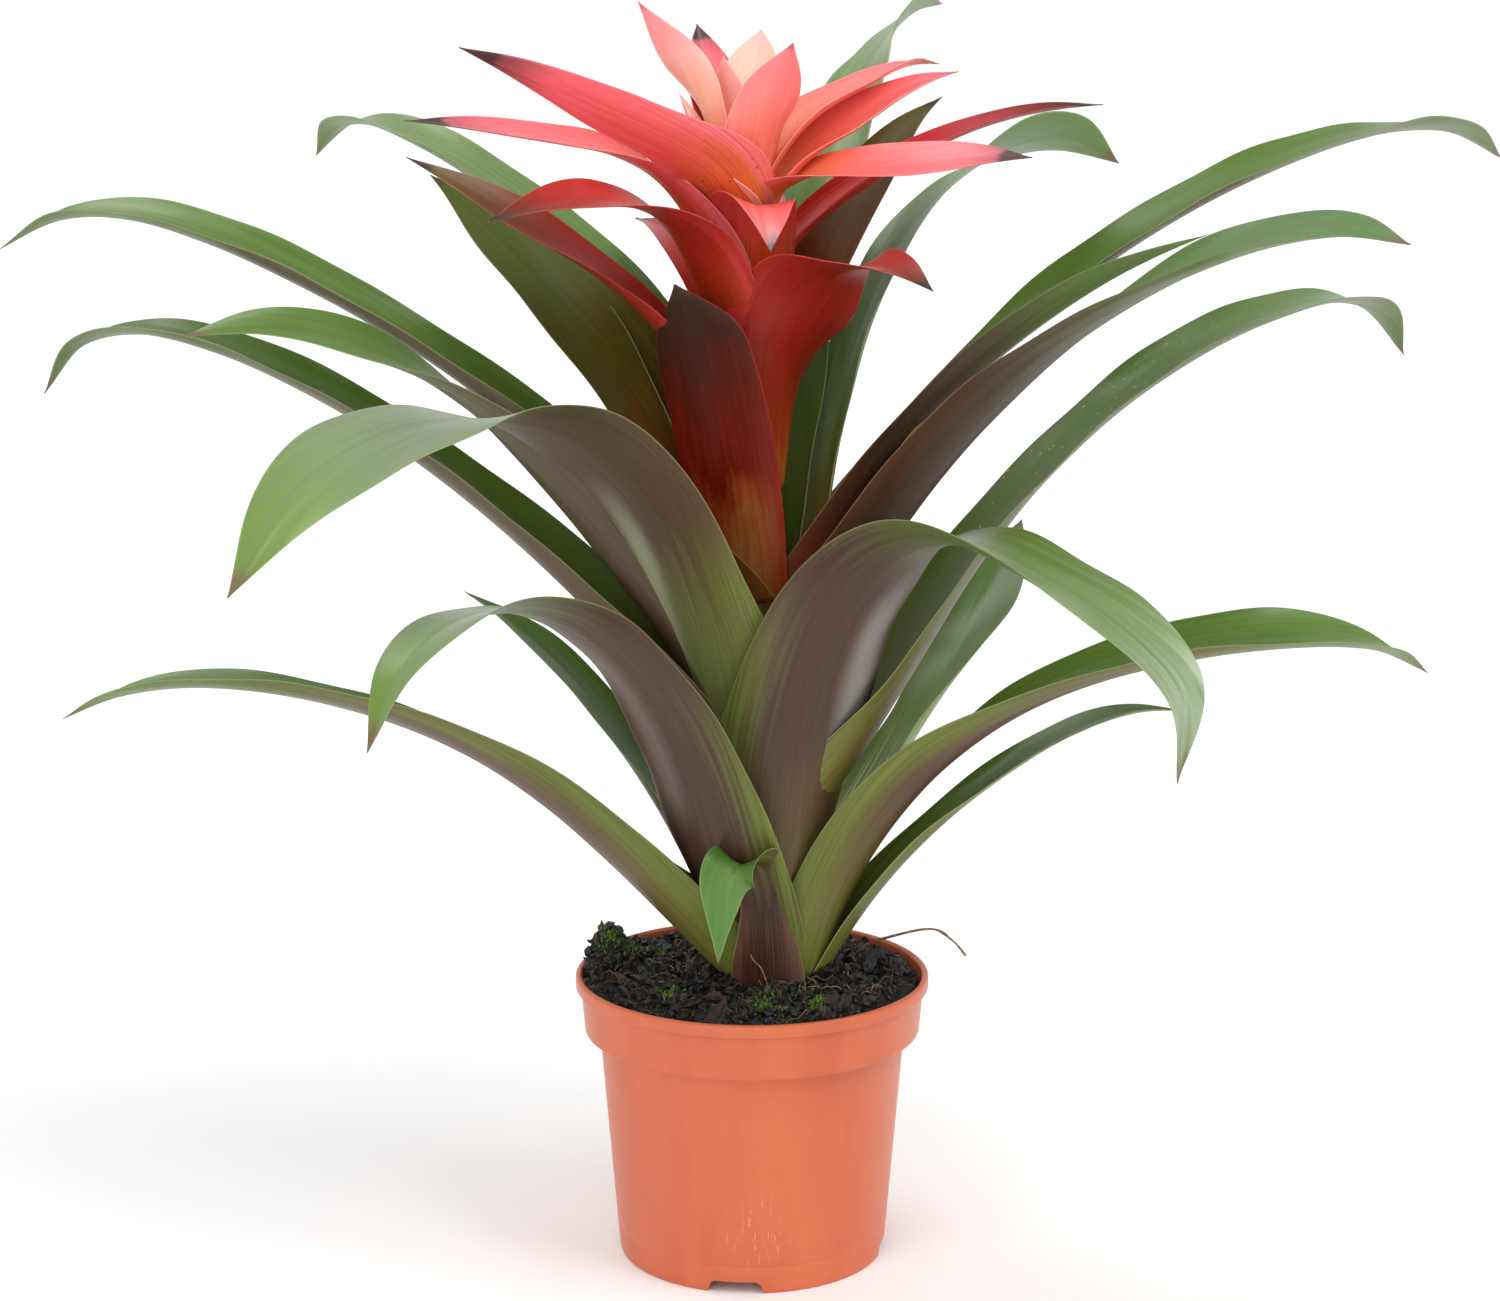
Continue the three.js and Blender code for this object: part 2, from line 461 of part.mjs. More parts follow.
// Peat that fills the pot up to a lumpy top, with a plain hole where the stem stands.
function soilBody() {
  const inside = FLOOR_HEIGHT + FLOOR_THICKNESS + GAP;
  const wall = POT_WALL + 2 * GAP;
  const ledge = BAND_FOOT_HEIGHT + POT_WALL + GAP;
  const rim = BAND_TOP_RADIUS - wall - EDGE;
  const rings = [];
  for (let k = 0; k <= SOIL_RINGS; k++) {
    const share = k / SOIL_RINGS;
    const radius = SOIL_CENTRE + (rim - SOIL_CENTRE) * share;
    rings.push({ radius, height: (x, y) => soilHeight(x, y, share < 1 ? 1 : SOIL_RIM_LUMP) });
  }
  rings.push({ radius: BAND_FOOT_RADIUS - wall, height: () => ledge });
  rings.push({ radius: BODY_TOP_RADIUS - wall, height: () => ledge - EDGE });
  rings.push({ radius: bodyRadius(inside) - wall, height: () => inside });
  const points = [new THREE.Vector3(0, 0, soilHeight(0, 0, 1))];
  for (const { radius, height } of rings) {
    for (let k = 0; k < SOIL_SPOKES; k++) {
      const angle = (2 * Math.PI * k) / SOIL_SPOKES;
      const x = radius * Math.cos(angle);
      const y = radius * Math.sin(angle);
      points.push(new THREE.Vector3(x, y, height(x, y)));
    }
  }
  points.push(new THREE.Vector3(0, 0, inside));
  const at = (ring, k) => 1 + ring * SOIL_SPOKES + (k % SOIL_SPOKES);
  const bottom = points.length - 1;
  const triangles = [];
  for (let k = 0; k < SOIL_SPOKES; k++) {
    triangles.push([0, at(0, k), at(0, k + 1)]);
    for (let ring = 0; ring + 1 < rings.length; ring++) {
      triangles.push([at(ring, k), at(ring + 1, k), at(ring + 1, k + 1)]);
      triangles.push([at(ring, k), at(ring + 1, k + 1), at(ring, k + 1)]);
    }
    triangles.push([bottom, at(rings.length - 1, k + 1), at(rings.length - 1, k)]);
  }
  return solid(points, triangles).subtract(stemBody(GAP));
}

// The stem, or with grow the hole in which it stands.
function stemBody(grow) {
  const levels = [STEM_BOTTOM - grow, ...STEM_LEVELS, STEM_TOP - STEM_CHAMFER, STEM_TOP + grow];
  const radii = [STEM_FOOT_RADIUS, ...STEM_LEVELS.map(stemRadius), stemRadius(STEM_TOP), STEM_CROWN_RADIUS];
  const points = [stemAxis(levels[0])];
  levels.forEach((z, n) => {
    for (let k = 0; k < STEM_SIDES; k++) {
      const angle = (2 * Math.PI * k) / STEM_SIDES;
      const reach = radii[n] + grow;
      const spoke = new THREE.Vector3(reach * Math.cos(angle), reach * Math.sin(angle), 0);
      points.push(stemAxis(z).add(spoke));
    }
  });
  points.push(stemAxis(levels.at(-1)));
  const at = (ring, k) => 1 + ring * STEM_SIDES + (k % STEM_SIDES);
  const top = points.length - 1;
  const triangles = [];
  for (let k = 0; k < STEM_SIDES; k++) {
    triangles.push([0, at(0, k + 1), at(0, k)]);
    for (let ring = 0; ring + 1 < levels.length; ring++) {
      triangles.push([at(ring, k), at(ring, k + 1), at(ring + 1, k + 1)]);
      triangles.push([at(ring, k), at(ring + 1, k + 1), at(ring + 1, k)]);
    }
    triangles.push([top, at(levels.length - 1, k), at(levels.length - 1, k + 1)]);
  }
  return solid(points, triangles);
}

// The dry root, a thin rod with flat ends.
function rootBody(grow) {
  const route = new THREE.CatmullRomCurve3(ROOT_ROUTE);
  const rings = [];
  for (let i = 0; i <= ROOT_STEPS; i++) {
    const centre = route.getPointAt(i / ROOT_STEPS);
    const run = route.getTangentAt(i / ROOT_STEPS);
    const side = new THREE.Vector3(0, 1, 0).cross(run).normalize();
    const lift = run.clone().cross(side);
    const reach = (ROOT_THICKNESS / 2) * (1 - ROOT_TAPER * (i / ROOT_STEPS)) + grow;
    const ring = [];
    for (let k = 0; k < ROOT_SIDES; k++) {
      const angle = (2 * Math.PI * k) / ROOT_SIDES;
      const spoke = side.clone().multiplyScalar(Math.cos(angle) * reach);
      ring.push(centre.clone().add(spoke).addScaledVector(lift, Math.sin(angle) * reach));
    }
    rings.push(ring);
  }
  const points = rings.flat();
  const at = (i, k) => i * ROOT_SIDES + (k % ROOT_SIDES);
  const triangles = [];
  for (let i = 0; i < ROOT_STEPS; i++) {
    for (let k = 0; k < ROOT_SIDES; k++) {
      triangles.push([at(i, k), at(i, k + 1), at(i + 1, k + 1)]);
      triangles.push([at(i, k), at(i + 1, k + 1), at(i + 1, k)]);
    }
  }
  for (let k = 1; k + 1 < ROOT_SIDES; k++) {
    triangles.push([at(0, 0), at(0, k + 1), at(0, k)]);
    triangles.push([at(ROOT_STEPS, 0), at(ROOT_STEPS, k), at(ROOT_STEPS, k + 1)]);
  }
  return solid(points, triangles);
}

function boxesMeet(a, b) {
  const p = a.boundingBox();
  const q = b.boundingBox();
  return [0, 1, 2].every((axis) => p.min[axis] < q.max[axis] && q.min[axis] < p.max[axis]);
}

function largestPiece(body) {
  const pieces = body.asOriginal().simplify(SMOOTHING).decompose();
  pieces.sort((a, b) => b.volume() - a.volume());
  return pieces[0];
}

// Cuts away what lies within a gap of the parts already placed and keeps the largest piece.
function carve(body, placed) {
  let rest = body;
  for (const other of placed) {
    if (boxesMeet(rest, other)) {
      rest = rest.subtract(other);
    }
  }
  return largestPiece(rest);
}

// The peat with a hole for the dry root and for each blade whose foot is buried in it.
function soilAround(rows) {
  let body = soilBody().subtract(rootBody(GAP));
  for (const { row, kind } of rows) {
    if (row.root < SOIL_MOUND_HEIGHT) {
      body = body.subtract(blade(row, kind, GAP));
    }
  }
  return largestPiece(body);
}

function lookOf(name) {
  if (name.startsWith("leaf")) {
    return MATERIALS.leaf;
  }
  if (name === "bract_front_dark" || name === "bract_right_dark") {
    return MATERIALS.bract_dark;
  }
  return name.startsWith("bract_centre") ? MATERIALS.bract_pink : MATERIALS.bract_red;
}

const rows = [
  ...BRACTS.map((row) => ({ row, kind: BRACT })),
  ...LEAVES.map((row) => ({ row, kind: LEAF })),
];
rows.sort((a, b) => b.row.root - a.row.root);
const group = new THREE.Group();
group.name = "potted_guzmania";
const pot = potBody();
group.add(meshOf(pot, "pot", MATERIALS.pot));
group.add(meshOf(soilAround(rows), "soil", MATERIALS.soil));
group.add(meshOf(stemBody(0), "stem", MATERIALS.stem));
group.add(meshOf(rootBody(0), "dry_root", MATERIALS.dry_root));

const placed = [stemBody(GAP), rootBody(GAP)];
for (const { row, kind } of rows) {
  const body = carve(blade(row, kind, 0), placed);
  placed.push(blade(row, kind, BLADE_GAP));
  group.add(meshOf(body, row.name, lookOf(row.name)));
}

export default group;
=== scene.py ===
# Looks of the potted guzmania: fine leaves, bracts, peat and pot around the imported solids, in metres.
# Shapes are worked out in millimetres from the same driving values as the solids, then scaled.
import math

import bmesh
import bpy
import numpy as np
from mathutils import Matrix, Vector, noise


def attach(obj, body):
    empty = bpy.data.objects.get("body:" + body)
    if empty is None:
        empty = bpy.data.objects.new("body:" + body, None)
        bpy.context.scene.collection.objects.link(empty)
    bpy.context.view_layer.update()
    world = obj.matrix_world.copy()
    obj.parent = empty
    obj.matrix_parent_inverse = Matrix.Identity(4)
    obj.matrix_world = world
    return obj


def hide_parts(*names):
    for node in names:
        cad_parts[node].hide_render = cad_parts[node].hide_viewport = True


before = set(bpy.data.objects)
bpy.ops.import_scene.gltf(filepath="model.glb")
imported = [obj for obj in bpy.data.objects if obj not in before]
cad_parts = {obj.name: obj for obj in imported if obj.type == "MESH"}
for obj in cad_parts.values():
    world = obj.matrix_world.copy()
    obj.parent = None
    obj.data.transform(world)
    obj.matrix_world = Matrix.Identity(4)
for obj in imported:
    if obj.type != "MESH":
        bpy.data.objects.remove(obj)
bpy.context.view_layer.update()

MM = 0.001

# Pot, the outside sizes of the solid one.
POT_HEIGHT = 98
LIP_RADIUS = 60
LIP_HEIGHT = 4.6
BAND_TOP_RADIUS = 58.3
BAND_FOOT_RADIUS = 57
BAND_FOOT_HEIGHT = 78.6
BODY_TOP_RADIUS = 52
FOOT_RADIUS = 45.5
POT_WALL = 1.5
FOOT_RING = 2.8
FLOOR_HEIGHT = 5.5
FLOOR_THICKNESS = 1.6
GATE_RADIUS = 6
NOTCH_COUNT = 4
NOTCH_WIDTH_TOP = 15.5
NOTCH_WIDTH_FOOT = 20
NOTCH_HEIGHT = 4.2
NOTCH_DEPTH = 8
NOTCH_TURN = -97
DRAIN_COUNT = 6
DRAIN_RADIUS = 4
DRAIN_CIRCLE = 27
POT_SIDES = 160
MOULD_LINE_HEIGHT = 9.5
MOULD_LINE_DEPTH = 0.18

# Marks on the pot, in metres: the scuffs' middle, and each dark fleck with its size.
SCUFF_PLACE = (0.003, -0.0495, 0.022)
FLECKS = [((0.0072, -0.051, 0.0541), 0.0007), ((0.0072, -0.051, 0.0518), 0.0006)]

# Peat.
GAP = 0.3
SOIL_RIM_HEIGHT = 95.3
SOIL_MOUND_HEIGHT = 102
MOUND_SPREAD = 33
CLUMP_CENTRE = (-52, 12)
CLUMP_HEIGHT = 12
CLUMP_SPREAD = 14
SOIL_RINGS = 80
SOIL_SPOKES = 240
CRUMB_COUNT = 2200
CLUMP_CRUMB_COUNT = 160
BARK_COUNT = 90
FIBRE_COUNT = 110
MOSS_COUNT = 2600

# Where the bits lie on the peat: how far from the pot's axis, how far from the stem's foot, the outer face
# of the clump, and the moss beds with their middle, width and share of the moss.
STREWN_REACH = 54
FIBRE_REACH = 50
MOSS_REACH = 54.5
SHEATH_REACH = 15
HEAP_ANGLES = (146, 200)
HEAP_RADII = (49, 56)
MOSS_BEDS = [((-47, 14), 9, 0.35), ((-33, 22), 7, 0.15), ((6, -37), 9, 0.3), ((20, -33), 6, 0.1),
             ((-28, -20), 5, 0.1)]

# Stem.
STEM_FOOT = np.array([7.5, 0, 90.0])
STEM_HEAD = np.array([-5.0, 0, 385])
STEM_FOOT_RADIUS = 15
STEM_HEAD_RADIUS = 5
SHEATH_CLEARANCE = 0.8

# Blades: the widest curl round the stem in degrees, the width of the point, the share of the length over
# which the skin thins to THIN_TIP of its thickness, the waves of the margins, the half width of the groove
# along the midrib, the blade's width from which the groove is full, and how far apart two blades' streaks
# are drawn.
WIDEST_CLASP = 115
SHARP_TIP = 0.35
TIP_SHARE = 0.12
THIN_TIP = 0.3
LONG_WAVE = 17
SHORT_WAVE = 7.3
GROOVE_REACH = 1.4
GROOVED_WIDTH = 12
STREAK_OFFSET = 7.3
LEAF = {
    "stations": 10, "steps": 96, "columns": 24, "thickness": 1.0, "margin": 0.3,
    "outline": [1.5, 1.35, 1.12, 1, 0.95, 0.72, 0], "cup": [80, 55, 40, 34, 30, 30],
    "groove": 0.35, "wave": 0.7,
}
BRACT = {
    "stations": 8, "steps": 64, "columns": 24, "thickness": 0.9, "margin": 0.3,
    "outline": [0.62, 0.95, 1, 0.82, 0.52, 0], "cup": [75, 50, 35, 30, 30],
    "groove": 0.25, "wave": 0.5,
}


def strap(name, look, azimuth, root, length, width, **more):
    """The values of one leaf or bract; what its row leaves out is 0, and curl is 1."""
    values = dict(name=name, look=look, azimuth=azimuth, root=root, length=length, width=width)
    return {**values, "turn": [0], "roll": [0], "out": 0, "curl": 1, **more}


# One row a leaf or bract, as in the solids: its name and look, the direction in which it leaves the stem,
# the height of its foot, its length and its width. rise is its slope, turn its swing aside and roll its
# roll about the midrib, in degrees at even steps from root to tip. out is how far its foot stands off the
# stem, and curl scales the curl of its cross-section.
LEAVES = [
    strap("leaf_left_low", "strap_low", 184, 97, 274, 36, rise=[48, 42, 19, 0, -30],
          turn=[0, -12, -15, -35], roll=[0, -22, -18, -4, 0], out=1.5, curl=1.1,
          outline=[1.6, 1.45, 1.22, 1.02, 0.9, 0.7, 0]),
    strap("leaf_front_left_low", "front_low", 226, 98, 260, 36, rise=[78, 69, 43, 0, -76],
          turn=[0, 0, 0, 2], roll=[0, -10, -8, -12, 0], out=0.7, curl=0.55,
          outline=[1.5, 1.35, 1.12, 1, 1.05, 0.85, 0]),
    strap("leaf_front_left", "front_high", 226, 165, 324, 38, rise=[74, 63, 18.5, -11, -34],
          turn=[0, 5, 8, 28], roll=[0, -2, -16, 18, 22], curl=0.5),
    strap("leaf_left_mid", "strap", 176, 159, 329, 32, rise=[63, 44.5, 32.5, 11.5, -50],
          turn=[0, -8, -10, -50], roll=[0, 0, 0, 4, 4], curl=1.35,
          outline=[1.6, 1.45, 1.22, 1.05, 0.92, 0.58, 0]),
    strap("leaf_left_top", "strap", 171, 192, 338, 33, rise=[66, 46, 29, 15, -31], turn=[0, -2, -10, -26],
          roll=[0, 0, 0, 6, 14], curl=1.45),
    strap("leaf_left_short", "strap", 193, 171, 251, 29, rise=[71, 57, 46, 24, -12], turn=[0, 0, 6, 20],
          roll=[0, -24, -22, 24, 32], curl=0.95),
    strap("leaf_back_left_top", "strap_pale", 128, 221, 302, 31, rise=[77, 57, 33, 16, -34],
          turn=[0, 14, 16, -18]),
    strap("leaf_inner_left", "inner", 161, 225, 181, 37, rise=[79, 63, 49, 40, 34], turn=[0, -7],
          roll=[0, 14, 30, 22, 17], curl=0.8, outline=[1.8, 1.75, 1.4, 1.05, 0.95, 0.7, 0]),
    strap("leaf_back_left_low", "strap_low", 156, 98, 162, 27, rise=[72, 61, 53, 42, 25], turn=[0, 5],
          roll=[0, -8, -6, 0, 0], out=0.2, curl=0.9),
    strap("leaf_front_right", "front_broad", 295, 122, 302, 45, rise=[88, 76, 57, 30.5, -19, -28, -120],
          turn=[0, 7, 20, 40], roll=[0, 8, 10, 3, -16], curl=0.85),
    strap("leaf_right_low", "strap_low", 353, 98, 274, 38, rise=[77, 51, 22, 2, -31], turn=[0, 0, 12, 50],
          roll=[0, 18, 0, -8, -8], out=1, curl=1.3, outline=[1.5, 1.35, 1.12, 1, 1.05, 0.85, 0]),
    strap("leaf_right_low_narrow", "strap_low", 5, 98, 158, 21, rise=[62, 50, 38, 26, -8],
          roll=[0, 0, -5], out=2.3, curl=0.95),
    strap("leaf_right_mid", "strap_specked", 13, 147, 346, 35, rise=[54, 58.5, 36.5, 8, -42],
          turn=[0, 0, 16, 52], roll=[0, 4, -6], curl=0.8, outline=[1.9, 1.75, 1.3, 1.08, 1.05, 0.75, 0]),
    strap("leaf_right_top", "strap", 18, 204, 386, 34, rise=[64, 50, 28, 8, -22], turn=[0, -2, 12, 40],
          roll=[0, 8, 0, 2, 8], curl=0.95),
    strap("leaf_right_upper", "dusky", 330, 184, 304, 40, rise=[69, 55, 40, 21, -9],
          turn=[0, -6, -4, -40], roll=[0, -2, 2, -19, -14]),
    strap("leaf_right_dark", "dusky", 6, 212, 197, 33, rise=[73, 57, 44, 33, 18], turn=[0, -5, -4, 0],
          roll=[0, 15, 22, 22, 14], curl=0.9),
    strap("leaf_right_back_low", "streaked", 48, 98, 206, 34, rise=[68, 50, 42, 32, 18],
          turn=[0, -5, 12, 26], roll=[0, 24, 26, 2, 0], out=1.7, curl=0.85,
          outline=[1.5, 1.6, 1.35, 1, 0.9, 0.62, 0]),
    strap("leaf_back_right_top", "strap_pale", 72, 219, 333, 28, rise=[83, 66, 42, 20, -2],
          roll=[0, 3, 3, 37, 39]),
    strap("leaf_back_right", "back_tan", 35, 170, 302, 29, rise=[82, 83, 66, 21, -28],
          turn=[0, -3, 0, 18], roll=[0, 15, 8, 28, 44], curl=0.7,
          outline=[1.5, 1.35, 1.12, 1, 1.1, 0.95, 0]),
    strap("leaf_front_short", "short", 266, 97, 90, 26, rise=[84, 83, 80, 60, -70, -86, -88],
          turn=[0, -40, -62, -66], roll=[0, -40, -62, -60, 60, 68, 68], out=6.4, curl=0.6,
          outline=[1, 0.95, 0.75, 0.6, 0.85, 0.8, 0.52, 0.24, 0]),
    strap("leaf_back", "strap", 94, 180, 265, 30, rise=[80, 66, 44, 8, -40], turn=[0, 2, 4], roll=[0, 4],
          curl=0.9),
    strap("leaf_back_mid", "strap", 112, 140, 250, 30, rise=[78, 60, 34, -6, -55], turn=[0, -6, -10],
          roll=[0, -4], curl=0.9),
    strap("leaf_back_low", "strap_low", 88, 112, 225, 28, rise=[76, 58, 32, -8, -60], turn=[0, 10],
          curl=0.9),
]
BRACTS = [
    strap("bract_front_dark", "bract_dark", 236, 207, 128, 40, rise=[85, 83, 80, 77, 68],
          turn=[0, -10, -26, -36, -46], roll=[0, -10, -26, -36, -46], curl=0.8,
          outline=[0.78, 0.86, 0.92, 0.97, 1, 1.02, 0.98, 0.82, 0]),
    strap("bract_front_right", "bract_red", 311, 264, 130, 44, rise=[87, 84, 47, 6, -26],
          roll=[0, -4, 32, -6, -8]),
    strap("bract_front_left", "bract_red", 225, 295, 149, 33, rise=[87, 64, 21, -1, -14], turn=[0, 6, 0],
          roll=[0, 3, 13, 20, 15], curl=0.95),
    strap("bract_left_low", "bract_scarlet", 176, 273, 147, 30, rise=[79, 56, 38, 32, 26],
          turn=[0, 9, 8, 6], roll=[0, 5, 11, 28, 30]),
    strap("bract_front_centre", "bract_fold", 274, 316, 72, 33, rise=[82, 85, 60, -20, -75],
          turn=[0, 0, 5, 12, 12], roll=[0, 0, 0, 10, 10], curl=1.1,
          outline=[0.85, 1, 1.05, 0.9, 0.55, 0]),
    strap("bract_right", "bract_coral", 339, 350, 99, 31, rise=[77, 15, 5, 6, -2],
          roll=[0, -8, -20, -27, -26], curl=0.5),
    strap("bract_right_up", "bract_pink", 26, 345, 95, 28, rise=[78, 49, 29, 25, 8],
          roll=[0, -2, -16, -12, -12]),
    strap("bract_right_back_up", "bract_pink", 35, 355, 94, 28, rise=[79, 47, 22, 23, -10], roll=[0, 6]),
    strap("bract_right_back_low", "bract_deep", 16, 330, 136, 23, rise=[61, 35.5, 26, 13, 0], turn=[0, 2],
          roll=[0, -6, -6, -12]),
    strap("bract_right_dark", "bract_olive", 42, 285, 135, 36, rise=[74, 61, 54, 45, 23], turn=[0, 2],
          roll=[0, -2], curl=0.95),
    strap("bract_left_up", "bract_coral", 265, 346.5, 121, 25, rise=[66, 32.5, 24, 26, 18],
          turn=[0, -50, -68, -68], roll=[0, -36, -52, -48, -44], out=3, curl=0.8,
          outline=[1.4, 1.3, 0.86, 0.7, 0.44, 0]),
    strap("bract_left", "bract_coral", 199, 322.5, 140, 28, rise=[79, 56.5, 15, 9, 4], turn=[0, 16],
          roll=[0, 4, 14, 20, 18], curl=0.8, outline=[1.1, 1.2, 1, 0.8, 0.5, 0]),
    strap("bract_centre_left", "bract_peach", 204, 340, 88, 29, rise=[84, 88, 70, 54, 55],
          roll=[0, 4, 12, -26, -23], curl=0.95, outline=[0.4, 0.75, 1, 0.85, 0.55, 0]),
    strap("bract_centre_left_small", "bract_cream", 236, 344, 52, 30, rise=[80, 70, 64, 66, 66],
          turn=[0, -22, -34], roll=[0, 9, 27, 32, 30]),
    strap("bract_centre_back_left", "bract_coral", 126, 365, 52, 25, rise=[78, 73, 68, 65, 65],
          turn=[0, -2, -6], roll=[0, 2, 6]),
    strap("bract_centre_right", "bract_cream", 70, 370, 45, 27, rise=[79, 77, 71, 63, 55]),
    strap("bract_centre_front", "bract_pink", 288, 346, 66, 34, rise=[81, 78, 72, 62, 61],
          turn=[0, 24, 26, 20], roll=[0, -2, -5, 16, 18]),
    strap("bract_centre", "bract_cream", 244, 358, 46, 24, rise=[86, 87, 85, 80, 74],
          roll=[0, 0, 20, 10]),
    strap("bract_centre_back", "bract_pink", 75, 352, 58, 20, rise=[82, 80, 76, 66, 50]),
    strap("bract_back", "bract_coral", 92, 305, 118, 32, rise=[80, 60, 38, 16, 0], turn=[0, 5],
          roll=[0, 4]),
    strap("bract_back_left", "bract_red", 125, 300, 88, 32, rise=[80, 58, 36, 14, 0], turn=[0, -5],
          roll=[0, -4]),
]

GREEN_UPPER = "0 #84883c, 0.2 #6c8230, 0.5 #63882a, 0.8 #6c9832, 1 #759a3c"
# Upper face of the front leaves: green, with a pale grey-green middle stretch that is a painted sheen.
SHEEN_PAINTED_UPPER = "0 #84883c, 0.42 #84985c, 0.58 #a0b090, 0.78 #98b07c, 0.9 #86aa4c, 1 #7ca03c"
DRY_TIP = "#6e5a3c"


def paint(upper, lower, **more):
    """The look of one kind of blade, over what most kinds share."""
    usual = {
        "side_span": (0.75, 0.3), "stripe_end": 0.9, "streaky": 0.6, "rim": 0.22, "tip": DRY_TIP,
        "tip_start": 0.97, "blotch": 0.06, "shine": 0.28, "wax": 0.5,
    }
    return {"upper": upper, "lower": lower, **usual, **more}
